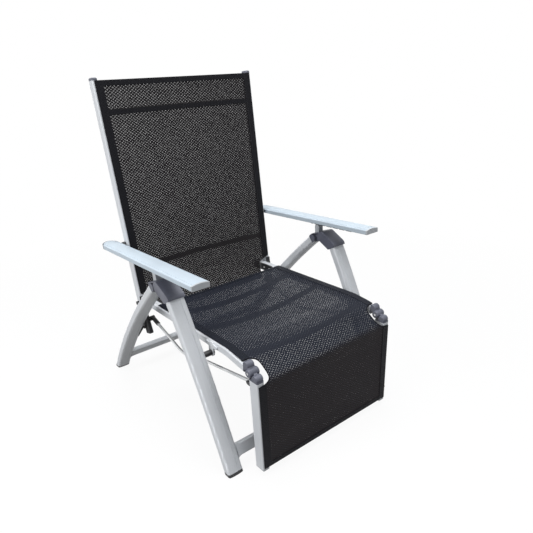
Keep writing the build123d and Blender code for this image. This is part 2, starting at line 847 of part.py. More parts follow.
def make_armrest_rim():
    """Left dark rim round the armrest's rear end."""
    front, rear, half = -armrest_front_reach, armrest_rear_reach, armrest_width / 2
    band = armrest_bar(armrest_section(False), rear - half, rear)
    band = band & armrest_plan(half, front, rear)
    return armrest_place() * (band - armrest_plan(half - armrest_rim, front, rear - armrest_rim))


def make_armrest_front_cap():
    """Left cap on the armrest's front end."""
    front = -armrest_front_reach
    cap = armrest_bar(armrest_section(False), front, front + armrest_cap_length)
    face = cap.faces().sort_by(Axis.Y)[0]
    return armrest_place() * fillet(face.edges(), armrest_corner / 2)


def make_armrest_rack():
    """Left notched strip under the armrest, which slides over the catch tab."""
    end = -rack_start
    start = end - rack_length
    middle = -(armrest_depth + rack_depth) / 2
    strip = Pos(0, (start + end) / 2, middle) * Box(rack_width, rack_length, rack_depth)
    count = int(rack_length / rack_pitch)
    for step in range(count):
        place = (end - (step + 1 / 2) * rack_pitch, -armrest_depth / 2 - rack_depth)
        strip -= shaft(place, notch_radius, -rack_width, rack_width)
    return armrest_place() * strip


def footrest_section():
    """Outside of the footrest tube's section."""
    return rounded_tube(rail_width, footrest_tube_depth, footrest_tube_corner)


def footrest_full():
    """Left footrest tube as a full bar."""
    return straight_bar(footrest_section(), footrest_bottom, footrest_top, rail_x)


def make_footrest_tube():
    """Left footrest side tube."""
    section = hollow_section(rail_width, footrest_tube_depth, footrest_tube_corner, rail_wall)
    return straight_bar(section, footrest_bottom, footrest_top, rail_x)


def make_footrest_knuckle():
    """Left knuckle on top of the footrest tube: a bead and the tongue on the footrest pin."""
    collar_end = along(footrest_top, footrest_bottom, -footrest_collar)
    collar = straight_bar(footrest_section(), footrest_top, collar_end, rail_x)
    gap = knuckle_cheek + face_gap
    tongue_line = disc(knuckle, pin_bead_radius - face_gap) + capsule(front_lobe, knuckle, neck_radius)
    tongue = slice_x(tongue_line, rail_inner + gap, rail_outer - gap)
    root = slice_x(capsule(front_lobe, collar_end, neck_radius), rail_inner, rail_outer)
    block = bead(front_lobe, lobe_radius, rail_inner, rail_outer) + root + tongue + collar - footrest_full()
    return block - shaft(knuckle, footrest_pin_radius + pin_clearance, rail_inner, rail_outer)


def make_footrest_pin():
    """Left pin of the footrest hinge."""
    return shaft(knuckle, footrest_pin_radius, rail_inner - bead_overhang, rail_outer + bead_overhang)


def make_footrest_end_cap():
    """Left cap under the footrest tube."""
    outer = along(footrest_bottom, footrest_top, -footrest_cap)
    return end_cap(footrest_section(), footrest_bottom, outer, rail_x, footrest_cap_round)


def make_footrest_bar(share, bow):
    """Footrest crossbar at a share of the way down its tubes."""
    place = along(footrest_top, footrest_bottom, share * spread(footrest_top, footrest_bottom))
    return bowed_bar(place, rail_inner, footrest_bar_radius, bow, 0)


def lug_plates():
    """Inner and outer x of the two plates that hold the push rod's end."""
    half = rod_eye_width / 2 + face_gap
    return ((rail_x - half - lug_width, rail_x - half), (rail_x + half, rail_x + half + lug_width))


def make_rod_lug():
    """Left lug behind the footrest tube: two plates and the pin between them."""
    root = (reach_on(footrest_bottom, footrest_top, rod_end[1]) + lug_root, rod_end[1])
    outline = capsule(root, rod_end, lug_radius)
    plates = [slice_x(outline, start, end) for start, end in lug_plates()]
    pin = shaft(rod_end, footrest_pin_radius, lug_plates()[0][0], lug_plates()[1][1])
    bridge = slice_x(disc(root, lug_radius), lug_plates()[0][0], lug_plates()[1][1])
    return plates[0] + plates[1] + pin + bridge - footrest_full()


def rod_points():
    """Bends of the left push rod, from the back tube to the footrest."""
    dip = plus(rod_pivot, -rod_dip_reach, -rod_dip_drop)
    rise = plus(rod_pivot, -rod_rise_reach, -rod_rise_drop)
    return (rod_pivot, dip, rise, rod_end)


def make_push_rod():
    """Left push rod, bent under the seat pivot, with a flat eye at its front end."""
    back, dip, rise, end = rod_points()
    start = along(back, dip, rod_socket_length)
    hole = footrest_pin_radius + rod_play
    finish = along(end, rise, (rod_eye_radius + hole) / 2)
    bar = bent(Circle(rod_radius), (start, dip, rise, finish), rod_bend_radius, rail_x)
    half = rod_eye_width / 2
    eye = shaft(end, rod_eye_radius, rail_x - half, rail_x + half)
    return bar + eye - shaft(end, hole, rail_x - overrun, rail_x + overrun)


def rod_sleeve_full():
    """Full shape of the socket at the rod's rear end, before its bores."""
    back, dip = rod_points()[:2]
    half = rod_eye_width / 2
    barrel = straight_bar(Circle(rod_socket_radius), back, along(back, dip, rod_socket_length), rail_x)
    return barrel + shaft(back, rod_eye_radius, rail_x - half, tube_inner - face_gap)


def make_rod_socket():
    """Left moulded socket on the rod's rear end, turning on a pin of its own in the back tube."""
    back = rod_points()[0]
    return rod_sleeve_full() - shaft(back, rod_pin_radius + pin_clearance, rail_inner - overrun, tube_outer)


def make_rod_pin():
    """Left pin that joins the rod socket to the back tube."""
    return shaft(rod_pivot, rod_pin_radius, rail_x - rod_eye_width / 2, tube_x)


def sheet(points, radius, half):
    """Sheet of fabric on straight runs with round bends, centred on the middle plane."""
    return bent(Rectangle(2 * half, fabric_thickness), points, radius, 0)


def footrest_sheet_line():
    """Middle of the footrest fabric: its line in front of the tubes."""
    distance = footrest_tube_depth / 2 + face_gap + fabric_thickness / 2
    first, second = footrest_top, footrest_bottom
    return (beside(first, second, first, -distance), beside(first, second, second, -distance))


def seat_sheet_points():
    """Middle of the seat fabric: along the rails' tops, over its lip and down to the footrest pins."""
    rise = rail_depth / 2 + face_gap + fabric_thickness / 2
    rear_reach = hinge_set_back - seat_fabric_back_gap
    over_bend = beside(rail_points[2], rail_points[1], rail_points[1], -rise)
    over_rear = beside(rail_points[2], rail_points[1], rail_points[2], -rise)
    lip = plus(rail_points[0], lip_set_back, lip_rise)
    rear = (rear_reach, height_on(over_rear, over_bend, rear_reach))
    return (rear, over_bend, lip, along(knuckle, lip, knee_gap))


def make_seat_fabric():
    """Seat mesh over the rails, narrowed beside the knuckles and drawn down to the footrest pins."""
    mesh = sheet(seat_sheet_points(), fabric_bend_radius, fabric_half)
    depth = cutout_set_back + fabric_half
    for side in (-1, 1):
        block = Box(fabric_half, depth, room)
        place = (side * (fabric_waist + fabric_half / 2), rail_front + cutout_set_back - depth / 2, 0)
        mesh -= Pos(*place) * block
    return mesh


def make_footrest_fabric():
    """Footrest mesh in front of the tubes, narrowed beside the knuckles and drawn up to their pins."""
    line = footrest_sheet_line()
    shin_height = knuckle[1] - shin_drop
    shin = (reach_on(*line, shin_height), shin_height)
    low = along(line[1], line[0], footrest_fabric_end)
    narrow = sheet((along(knuckle, shin, knee_gap), shin, low), knee_bend_radius, fabric_waist)
    wide = straight_bar(Rectangle(2 * fabric_half, fabric_thickness), low, along(shin, low, shin_gap), 0)
    return narrow + wide


def make_back_fabric():
    """Back mesh in front of the tubes, with a narrower tongue between the seat rails."""
    distance = back_tube_depth / 2 + face_gap + fabric_thickness / 2
    low, corner, high = set_off(tube_points, distance)
    wide = sheet((low, corner, high), back_bend_radius + distance, back_fabric_half)
    wide = wide & level_slab(hinge_height - back_fabric_drop, room)
    notch_top = hinge_height + back_fabric_notch_rise
    for side in (-1, 1):
        block = Box(fabric_half, room, 2 * notch_top)
        wide -= Pos(side * (back_tongue_half + fabric_half / 2), middle_reach, 0) * block
    return wide


def finished_parts():
    """Every node of the armchair, before it is moved to its own origin."""
    sides = {
        "seat_rail": make_seat_rail(),
        "front_leg": make_front_leg(),
        "rear_leg": make_rear_leg(),
        "back_tube": make_back_tube(),
        "armrest": make_armrest(),
        "armrest_front_cap": make_armrest_front_cap(),
        "armrest_rear_rim": make_armrest_rim(),
        "armrest_rack": make_armrest_rack(),
        "footrest_tube": make_footrest_tube(),
        "push_rod": make_push_rod(),
        "rod_socket": make_rod_socket(),
    }
    pairs = {
        "rail_knuckles": make_rail_knuckle(),
        "pivot_brackets": make_pivot_bracket(),
        "apex_front_caps": make_apex_front_cap(),
        "apex_rear_caps": make_apex_rear_cap(),
        "catch_fins": make_catch_fin(),
        "seat_hinge_plates": make_hinge_plate(),
        "hinge_screws": make_hinge_screws(),
        "front_feet": leg_foot(front_bow, front_leg_width, front_leg_x),
        "rear_feet": leg_foot(rear_bow, rear_leg_width, rear_leg_x),
        "apex_pins": make_apex_pin(),
        "seat_pivot_pins": make_seat_pivot_pin(),
        "seat_pivot_bushes": make_seat_bush(),
        "link_plates": make_link_plate(),
        "link_pins": make_link_pin(),
        "back_top_caps": make_back_top_cap(),
        "back_end_fittings": make_back_end_fitting(),
        "recline_pins": make_recline_pin(),
        "tube_bolts": make_tube_bolt(),
        "hinge_washers": make_washer(),
        "armrest_spacers": make_armrest_spacer(),
        "armrest_bolts": make_armrest_bolt(),
        "rod_pins": make_rod_pin(),
        "footrest_knuckles": make_footrest_knuckle(),
        "footrest_pins": make_footrest_pin(),
        "footrest_end_caps": make_footrest_end_cap(),
        "rod_lugs": make_rod_lug(),
    }
    parts = {
        "seat_crossbar_front": make_seat_bar(seat_bar_shares[0]),
        "seat_crossbar_middle": make_seat_bar(seat_bar_shares[1]),
        "seat_crossbar_rear": make_seat_bar(seat_bar_shares[2]),
        "front_crossbar": make_leg_bar(front_bow, front_bar_rise, front_leg_inner),
        "rear_crossbar": make_leg_bar(rear_bow, rear_bar_rise, rear_leg_inner),
        "upper_crossbar": make_back_bar(back_height - upper_bar_drop, crossbar_radius),
        "lumbar_crossbar": make_back_bar(hinge_height + lumbar_bar_rise, lumbar_bow),
        "footrest_crossbar_upper": make_footrest_bar(footrest_bar_shares[0], footrest_bar_bow),
        "footrest_crossbar_lower": make_footrest_bar(footrest_bar_shares[1], footrest_bar_bow),
        "seat_fabric": make_seat_fabric(),
        "back_fabric": make_back_fabric(),
        "footrest_fabric": make_footrest_fabric(),
    }
    for name, solid in sides.items():
        parts[name + "_left"] = solid
        parts[name + "_right"] = other_side(solid)
    for name, solid in pairs.items():
        parts[name] = both_sides(solid)
    return parts


def standing(parts):
    """Parts leaned forward onto their feet, and the reach of their footprint's middle from the front feet."""
    lean = Rot(floor_angle, 0, 0) * Pos(0, -front_foot[0], -floor_front_rise)
    leaned = {name: lean * solid for name, solid in parts.items()}
    boxes = [solid.bounding_box() for solid in leaned.values()]
    middle = (min(box.min.Y for box in boxes) + max(box.max.Y for box in boxes)) / 2
    return {name: Pos(0, -middle, 0) * solid for name, solid in leaned.items()}, middle


def print_pivots(middle):
    """Print each joint's place in the finished part's frame, in metres."""
    named = {"seat_pivot": seat_pivot, "apex": apex, "hinge": hinge, "link": link, "armrest": armrest_pivot,
             "knuckle": knuckle, "rod_pivot": rod_pivot, "rod_end": rod_end, "tab": tab,
             "front_foot": front_bow.point(floor_front_rise), "rear_foot": rear_foot}
    lean = radians(floor_angle)
    for name, point in named.items():
        reach, rise = point[0] - front_foot[0], point[1] - floor_front_rise
        leaned = (reach * cos(lean) - rise * sin(lean) - middle, reach * sin(lean) + rise * cos(lean))
        print("pivot %s y %.5f z %.5f" % (name, leaned[0] / mm_per_m, leaned[1] / mm_per_m))


def main():
    """Build every node and write one STEP file for each."""
    os.makedirs("parts", exist_ok=True)
    parts, middle = standing(finished_parts())
    for name, solid in parts.items():
        export_step(solid, os.path.join("parts", name + ".step"))
    print_pivots(middle)


main()
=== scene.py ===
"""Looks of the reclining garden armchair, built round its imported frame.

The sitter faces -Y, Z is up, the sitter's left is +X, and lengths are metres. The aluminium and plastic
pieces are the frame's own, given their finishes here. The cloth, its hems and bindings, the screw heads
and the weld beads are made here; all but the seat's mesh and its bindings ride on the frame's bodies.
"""

import json
import logging
from collections.abc import Callable, Sequence
from dataclasses import dataclass
from enum import Enum
from functools import cached_property
from math import cos, hypot, pi, radians, sin, sqrt, tan

import bmesh
import bpy
from mathutils import Matrix, Vector

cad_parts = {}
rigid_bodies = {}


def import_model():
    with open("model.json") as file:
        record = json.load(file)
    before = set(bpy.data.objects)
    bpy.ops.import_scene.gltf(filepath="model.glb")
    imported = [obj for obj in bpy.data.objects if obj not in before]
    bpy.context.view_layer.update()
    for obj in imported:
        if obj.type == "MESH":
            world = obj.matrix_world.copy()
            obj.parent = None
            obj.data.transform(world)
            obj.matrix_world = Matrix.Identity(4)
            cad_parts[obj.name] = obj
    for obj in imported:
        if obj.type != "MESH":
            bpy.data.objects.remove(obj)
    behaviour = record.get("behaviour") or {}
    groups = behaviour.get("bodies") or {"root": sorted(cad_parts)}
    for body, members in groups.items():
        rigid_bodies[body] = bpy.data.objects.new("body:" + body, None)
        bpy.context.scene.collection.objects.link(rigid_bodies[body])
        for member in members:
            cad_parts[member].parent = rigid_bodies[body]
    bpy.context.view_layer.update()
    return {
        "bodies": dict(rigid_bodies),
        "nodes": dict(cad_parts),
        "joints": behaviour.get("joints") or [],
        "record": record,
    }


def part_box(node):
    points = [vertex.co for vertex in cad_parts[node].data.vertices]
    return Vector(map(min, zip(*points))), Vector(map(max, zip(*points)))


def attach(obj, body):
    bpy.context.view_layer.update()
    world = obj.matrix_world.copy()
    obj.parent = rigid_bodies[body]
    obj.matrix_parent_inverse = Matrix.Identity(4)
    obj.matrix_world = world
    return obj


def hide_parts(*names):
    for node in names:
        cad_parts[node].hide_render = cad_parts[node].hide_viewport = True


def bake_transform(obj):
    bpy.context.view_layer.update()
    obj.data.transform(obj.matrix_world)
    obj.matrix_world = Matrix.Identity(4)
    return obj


LOG = logging.getLogger("garden_armchair")
Point = tuple[float, float]
Place = tuple[float, float, float]
Colour = tuple[float, float, float]
Edges = Callable[[float], tuple[float, float]]

WHITE: Colour = (1.0, 1.0, 1.0)
WHOLE = (0.0, 1.0)


class Side(Enum):
    """Sides of the armchair, with the sign of their x."""

    LEFT = 1.0
    RIGHT = -1.0


class Body(Enum):
    """Bodies of the frame that new pieces ride on."""

    SEAT = "seat"
    BACK = "back"
    FOOTREST = "footrest"


class Graph:
    """Node tree of a material or of the sky, with short calls that add and join its nodes."""

    # Sockets of the Mix node that carry its share, its two colours and its result.
    MIX_SHARE, MIX_FIRST, MIX_SECOND, MIX_RESULT = 0, 6, 7, 2

    def __init__(self, owner: bpy.types.Material | bpy.types.World) -> None:
        """Start from the nodes that its owner has at first.

        Args:
            owner: Material or sky.
        """
        owner.use_nodes = True
        self.owner, self.tree = owner, owner.node_tree

    @property
    def shader(self) -> bpy.types.Node:
        """Main shader of a material."""
        return self.tree.nodes["Principled BSDF"]

    def feed(self, socket: bpy.types.NodeSocket, value: object) -> None:
        """Set a socket to a number or colour, or join another node's socket to it.

        Args:
            socket: Input to feed.
            value: Number, colour or output socket.
        """
        if isinstance(value, bpy.types.NodeSocket):
            self.tree.links.new(value, socket)
        elif socket.type == "RGBA":
            socket.default_value = (*value, 1.0)
        else:
            socket.default_value = value

    def node(self, kind: str, feeds: dict[str | int, object], **settings: object) -> bpy.types.Node:
        """Add a node.

        Args:
            kind: Blender's name for the node.
            feeds: Values or sockets for its inputs, by name or number.
            settings: Its own options.

        Returns:
            The new node.
        """
        made = self.tree.nodes.new(kind)
        for name, value in settings.items():
            setattr(made, name, value)
        for key, value in feeds.items():
            self.feed(made.inputs[key], value)
        return made

    def surface(self, feeds: dict[str, object]) -> None:
        """Set inputs of the main shader.

        Args:
            feeds: Values or sockets for its inputs, by name.
        """
        for name, value in feeds.items():
            self.feed(self.shader.inputs[name], value)

    def math(self, operation: str, first: object, second: object = 0.0) -> bpy.types.NodeSocket:
        """Result of a sum or other operation on two values."""
        return self.node("ShaderNodeMath", {0: first, 1: second}, operation=operation).outputs[0]

    def add(self, first: object, second: object, share: float) -> bpy.types.NodeSocket:
        """Sum of one value and a share of another."""
        return self.math("ADD", first, self.math("MULTIPLY", second, share))

    def blend(self, share: object, first: object, second: object) -> bpy.types.NodeSocket:
        """Colour between two colours."""
        feeds = {self.MIX_SHARE: share, self.MIX_FIRST: first, self.MIX_SECOND: second}
        return self.node("ShaderNodeMix", feeds, data_type="RGBA").outputs[self.MIX_RESULT]

    def spread(self, value: object, given: Point, wanted: Point = WHOLE) -> bpy.types.NodeSocket:
        """Value moved from one range to another, held at its ends.

        Args:
            value: Value or socket to move.
            given: Values that become the ends of the new range.
            wanted: Ends of the new range.

        Returns:
            The moved value.
        """
        feeds = {0: value, 1: given[0], 2: given[1], 3: wanted[0], 4: wanted[1]}
        return self.node("ShaderNodeMapRange", feeds).outputs[0]

    def scaled(self, place: object, scale: Place) -> bpy.types.NodeSocket:
        """Place with each of its parts multiplied."""
        return self.node("ShaderNodeMapping", {"Vector": place, "Scale": scale}).outputs[0]

    def noise(self, place: object, scale: float, detail: float = 2.0) -> bpy.types.NodeSocket:
        """Soft random value at a place."""
        feeds = {"Vector": place, "Scale": scale, "Detail": detail}
        return self.node("ShaderNodeTexNoise", feeds).outputs["Fac"]

    def bump(self, height: object, depth: float, strength: float) -> None:
        """Raise the surface by a height pattern.

        Args:
            height: Pattern from 0 to 1.
            depth: Metres from the lowest to the highest place.
            strength: Share of the effect.
        """
        feeds = {"Height": height, "Distance": depth, "Strength": strength}
        self.surface({"Normal": self.node("ShaderNodeBump", feeds).outputs[0]})

    def object_place(self) -> bpy.types.NodeSocket:
        """Place on the piece, in metres."""
        return self.node("ShaderNodeTexCoord", {}).outputs["Object"]

    def cloth_place(self) -> tuple[bpy.types.NodeSocket, bpy.types.NodeSocket]:
        """Place on a cloth, in metres of its flat cut.

        Returns:
            The places across and along it.
        """
        place = self.node("ShaderNodeTexCoord", {}).outputs["UV"]
        parts = self.node("ShaderNodeSeparateXYZ", {0: place})
        return parts.outputs[0], parts.outputs[1]


@dataclass(frozen=True)
class Aluminium:
    """Satin anodised aluminium, drawn and brushed along the bar.

    Attributes:
        name: Name of the material.
        colour: Colour of the metal.
        lean: Degrees from upright to the bar, about X.
        across: True where the bar runs from side to side.
        roughness: Middle roughness.
        metallic: Share of bare metal under the anodised skin.
    """

    name: str
    colour: Colour
    lean: float = 0.0
    across: bool = False
    roughness: float = 0.44
    metallic: float = 0.10

    # Drawn lines, smudges and scuffs in a metre.
    LINES_ACROSS, LINES_ALONG, SMUDGES, SCUFFS = 900.0, 9.0, 9.0, 160.0
    # Brightness of the drawn lines' low places, and how much of the scuffs shows and in what colour.
    LINE_SHADE, SCUFF_SHARE, SCUFF_COLOUR = 0.91, 0.25, (0.52, 0.53, 0.55)
    # Roughness taken from and added to the middle one.
    SMOOTHER, ROUGHER = 0.07, 0.09
    # Depth of the drawn lines, and how much of it shows.
    LINE_DEPTH, LINE_STRENGTH = 0.00004, 0.4
    SHEEN = 0.3

    def build(self) -> bpy.types.Material:
        """Make the material.

        Returns:
            The material with drawn lines, soft smudges and small scuffs.
        """
        graph = Graph(bpy.data.materials.new(self.name))
        place = graph.object_place()
        turned = graph.node("ShaderNodeVectorRotate", {"Vector": place, "Angle": radians(self.lean)},
                            rotation_type="X_AXIS").outputs[0]
        fine, coarse = self.LINES_ACROSS, self.LINES_ALONG
        lines = graph.noise(graph.scaled(turned, (coarse, fine, fine) if self.across else (fine, fine, coarse)),
                            1.0, 3.0)
        smudge = graph.noise(place, self.SMUDGES, 3.0)
        scuffs = graph.spread(graph.noise(place, self.SCUFFS, 5.0), (0.66, 0.74))
        dark = tuple(part * self.LINE_SHADE for part in self.colour)
        colour = graph.blend(graph.spread(graph.add(lines, smudge, 0.6), (0.55, 1.05)), dark, self.colour)
        rough = graph.spread(graph.add(smudge, lines, 0.5), (0.4, 1.1),
                             (self.roughness - self.SMOOTHER, self.roughness + self.ROUGHER))
        scuffed = graph.math("MULTIPLY", scuffs, self.SCUFF_SHARE)
        graph.surface({"Base Color": graph.blend(scuffed, colour, self.SCUFF_COLOUR), "Roughness": rough,
                       "Metallic": self.metallic, "Specular IOR Level": self.SHEEN})
        graph.bump(lines, self.LINE_DEPTH, self.LINE_STRENGTH)
        return graph.owner


@dataclass(frozen=True)
class MouldedPlastic:
    """Moulded nylon with a fine spark-eroded grain.

    Attributes:
        name: Name of the material.
        colour: Colour of the plastic.
        roughness: Middle roughness.
        grain: Grains in a metre.
    """

    name: str
    colour: Colour
    roughness: float = 0.46
    grain: float = 1400.0

    # Flow marks in a metre, and how much roughness they add and take.
    FLOW_MARKS, FLOW_ROUGHNESS = 28.0, 0.07
    # Rubbed places: the colour times one number plus another.
    RUBBED_TIMES, RUBBED_PLUS = 1.35, 0.012
    # Depth of the grain, and how much of it shows.
    GRAIN_DEPTH, GRAIN_STRENGTH = 0.00012, 0.6

    def build(self) -> bpy.types.Material:
        """Make the material.

        Returns:
            The material with grain, flow marks and rubbed high places.
        """
        graph = Graph(bpy.data.materials.new(self.name))
        place = graph.object_place()
        grain = graph.noise(place, self.grain)
        flow = graph.noise(place, self.FLOW_MARKS, 4.0)
        pale = tuple(min(1.0, part * self.RUBBED_TIMES + self.RUBBED_PLUS) for part in self.colour)
        share = graph.spread(graph.add(flow, grain, 0.35), (0.45, 0.95))
        rough = graph.spread(flow, (0.3, 0.7), (self.roughness + self.FLOW_ROUGHNESS,
                                                self.roughness - self.FLOW_ROUGHNESS))
        graph.surface({"Base Color": graph.blend(share, self.colour, pale), "Roughness": rough})
        graph.bump(grain, self.GRAIN_DEPTH, self.GRAIN_STRENGTH)
        return graph.owner


@dataclass(frozen=True)
class TurnedSteel:
    """Zinc-plated steel with fine turning marks.

    Attributes:
        name: Name of the material.
        colour: Colour of the plating.
    """

    name: str
    colour: Colour = (0.70, 0.70, 0.71)

    # Turning marks and dull patches in a metre.
    MARKS, PATCHES = 1800.0, 120.0
    # Brightness and the range of roughness of the dull patches.
    DULL_SHADE, PATCH_ROUGHNESS = 0.75, (0.22, 0.4)
    # Depth of the marks, and how much of it shows.
    MARK_DEPTH, MARK_STRENGTH = 0.00004, 0.5

    def build(self) -> bpy.types.Material:
        """Make the material.

        Returns:
            The material with its marks and dull patches.
        """
        graph = Graph(bpy.data.materials.new(self.name))
        place = graph.object_place()
        patch = graph.noise(place, self.PATCHES, 3.0)
        dull = tuple(part * self.DULL_SHADE for part in self.colour)
        graph.surface({"Base Color": graph.blend(patch, dull, self.colour), "Metallic": 1.0,
                       "Roughness": graph.spread(patch, (0.3, 0.7), self.PATCH_ROUGHNESS)})
        graph.bump(graph.noise(place, self.MARKS), self.MARK_DEPTH, self.MARK_STRENGTH)
        return graph.owner


@dataclass(frozen=True)
class MeshCloth:
    """Coated yarn woven into an open mesh, with wider holes in staggered rows.

    Attributes:
        name: Name of the material.
        yarn: Colour of the yarn.
        crown_highlight: Lighter colour painted on the yarn's crowns as a highlight, strongest where the rows
            are loose.
        opening: Size of the widest holes, as a share of the fine pitch.
        repeat: Metres across and along from one row of wide holes to the next like it.
        cells: Fine holes in one repeat, across and along.
        shade_span: Metres along the cloth where its painted shade and bounce light start, and where they are
            full.
        shade_hole_share: Share of the holes' size left there. This is painted shade that lets less of the floor
            show through.
        bounce_yarn: Colour of the yarn there, painted warm bounce light from the ground.
        stitch_from_edge: Metres from the cloth's u of 0 to a row of stitches, or 0 for none.
    """

    name: str
    yarn: Colour
    crown_highlight: Colour
    opening: float = 0.0
    repeat: tuple[float, float] = (0.0120, 0.0089)
    cells: tuple[int, int] = (8, 6)
    shade_span: tuple[float, float] = (9.0, 10.0)
    shade_hole_share: float = 1.0
    bounce_yarn: Colour = (0.0, 0.0, 0.0)
    stitch_from_edge: float = 0.0

    # Uneven places of the yarn in a metre, across and along, and slow changes of tone in a metre.
    SLUBS, DRIFTS = (330.0, 130.0, 1.0), 5.0
    # How much the uneven places widen or narrow the holes, and the size of the narrowest holes.
    UNEVEN, NARROWEST = (-0.18, 0.18), 0.24
    # Brightness of the painted shade where the yarn dips under another.
    DIP_SHADE = 0.35
    # Half the width of the thread, its pitch, where each stitch ends in the pitch, its colour and height.
    THREAD_HALF, STITCH_PITCH, STITCH_END = 0.0005, 0.0036, -0.4
    THREAD_COLOUR, THREAD_HEIGHT = (0.05, 0.05, 0.055), 1.6
    # Roughness from the dips to the crowns, sheen, depth of the weave and how much of it shows.
    YARN_ROUGHNESS, SHEEN, WEAVE_DEPTH, WEAVE_STRENGTH = (0.72, 0.5), 0.12, 0.0004, 0.8

    def stitches(self, graph: Graph, across: object, along: object) -> bpy.types.NodeSocket:
        """Row of stitches near the hem's edge.

        Args:
            graph: Nodes of the material.
            across: Place across the cloth.
            along: Place along the cloth.

        Returns:
            Value that is 1 on the thread and 0 beside it.
        """
        away = graph.math("ABSOLUTE", graph.math("SUBTRACT", across, self.stitch_from_edge))
        wave = graph.math("SINE", graph.math("MULTIPLY", along, 2 * pi / self.STITCH_PITCH))
        return graph.math("MULTIPLY", graph.math("LESS_THAN", away, self.THREAD_HALF),
                          graph.math("GREATER_THAN", wave, self.STITCH_END))

    def build(self) -> bpy.types.Material:
        """Make the material.

        Returns:
            The material with its over-and-under weave, its holes and its stitches.
        """
        graph = Graph(bpy.data.materials.new(self.name))
        across, along = places = graph.cloth_place()
        rows = graph.math("MULTIPLY", *(graph.math("COSINE", graph.math("MULTIPLY", place, 2 * pi / span))
                                        for place, span in zip(places, self.repeat)))
        side, length = (graph.math("SINE", graph.math("MULTIPLY", place, pi * count / span))
                        for place, count, span in zip(places, self.cells, self.repeat))
        warp, weft = graph.math("ABSOLUTE", side), graph.math("ABSOLUTE", length)
        over = graph.spread(graph.math("MULTIPLY", side, length), (-0.35, 0.35))
        crown = height = graph.blend(over, weft, warp)
        place = graph.node("ShaderNodeCombineXYZ", {0: across, 1: along}).outputs[0]
        uneven = graph.spread(graph.noise(graph.scaled(place, self.SLUBS), 1.0), (0.3, 0.7), self.UNEVEN)
        loose = graph.math("ADD", rows, uneven)
        # Painted shade and bounce light: towards the footrest's lower end the yarn warms and the holes shrink,
        # for the shaded ground behind.
        low = graph.spread(along, self.shade_span)
        yarn = graph.blend(low, self.yarn, self.bounce_yarn)
        # Painted highlight and shade: the crowns take the lighter colour, most in the loose rows, and the dips
        # take the darker one.
        pale = graph.blend(graph.spread(loose, (0.1, 1.0)), yarn, self.crown_highlight)
        dark = tuple(part * self.DIP_SHADE for part in self.yarn)
        shaded = graph.blend(graph.spread(crown, (0.2, 1.0), (0.7, 0.0)), pale, dark)
        drift = graph.spread(graph.noise(place, self.DRIFTS), (0.35, 0.65), (0.0, 0.3))
        colour = graph.blend(drift, shaded, yarn)
        if self.stitch_from_edge:
            stitch = self.stitches(graph, across, along)
            colour = graph.blend(stitch, colour, self.THREAD_COLOUR)
            height = graph.add(height, stitch, self.THREAD_HEIGHT)
        graph.surface({"Base Color": colour, "Roughness": graph.spread(crown, WHOLE, self.YARN_ROUGHNESS),
                       "Specular IOR Level": self.SHEEN})
        if self.opening:
            least = graph.spread(loose, (-0.4, 0.9), (self.NARROWEST, self.opening))
            # Painted shade: the holes shrink there, so less of the white floor shows through.
            dense = graph.spread(low, WHOLE, (1.0, self.shade_hole_share))
            hole = graph.math("LESS_THAN", graph.math("MAXIMUM", warp, weft),
                              graph.math("MULTIPLY", least, dense))
            graph.surface({"Alpha": graph.math("SUBTRACT", 1.0, hole)})
        graph.bump(height, self.WEAVE_DEPTH, self.WEAVE_STRENGTH)
        return graph.owner


def select_only(*pieces: bpy.types.Object) -> None:
    """Select some pieces and nothing else.

    Args:
        pieces: The pieces, of which the first one becomes the active one.
    """
    for other in bpy.context.scene.objects:
        other.select_set(False)
    for piece in pieces:
        piece.select_set(True)
    bpy.context.view_layer.objects.active = pieces[0]


def place_object(name: str, data: bpy.types.ID) -> bpy.types.Object:
    """Put a new object in the scene.

    Args:
        name: Name of the object.
        data: Its mesh, curve, lamp or camera.

    Returns:
        The new object.
    """
    made = bpy.data.objects.new(name, data)
    bpy.context.scene.collection.objects.link(made)
    return made


def joined(name: str, parts: Sequence[bpy.types.Object], smooth_to: float) -> bpy.types.Object:
    """Join parts to one piece, with their places and turns applied.

    Args:
        name: Name of the new piece.
        parts: Objects to join.
        smooth_to: Degrees up to which an edge is shaded smooth.

    Returns:
        The new piece.
    """
    select_only(*parts)
    bpy.ops.object.join()
    piece = bpy.context.view_layer.objects.active
    bpy.ops.object.transform_apply(location=True, rotation=True, scale=True)
    bpy.ops.object.shade_smooth_by_angle(angle=radians(smooth_to))
    piece.name = piece.data.name = name
    return piece


def dress(piece: bpy.types.Object, material: bpy.types.Material) -> None:
    """Give every slot of a piece a material, or add one slot for it.

    Args:
        piece: The piece.
        material: Its finish.
    """
    if not piece.material_slots:
        piece.data.materials.append(material)
    for slot in piece.material_slots:
        slot.material = material


def even_steps(start: float, end: float, step: float) -> list[float]:
    """Evenly spaced values from start to end, about a step apart."""
    count = max(1, round(abs(end - start) / step))
    return [start + (end - start) * index / count for index in range(count + 1)]


def graded_steps(*runs: tuple[float, float, float]) -> list[float]:
    """Values through runs that follow on one another.

    Args:
        runs: Start, end and step of each run.

    Returns:
        The values of all the runs, each shared end once.
    """
    values = []
    for run in runs:
        values = values[:-1] + even_steps(*run)
    return values


def smooth(value: float, start: float, end: float) -> float:
    """Value from 0 before start to 1 after end, with soft ends."""
    share = min(1.0, max(0.0, (value - start) / (end - start)))
    return share * share * (3 - 2 * share)


def rounded_notch(distance: float, start: float, end: float, depth: float) -> float:
    """Depth at a distance of a cut-out with round ends and a nearly straight bottom."""
    share = abs(2 * (distance - start) / (end - start) - 1)
    return depth * sqrt(1 - min(1.0, share) ** 4)


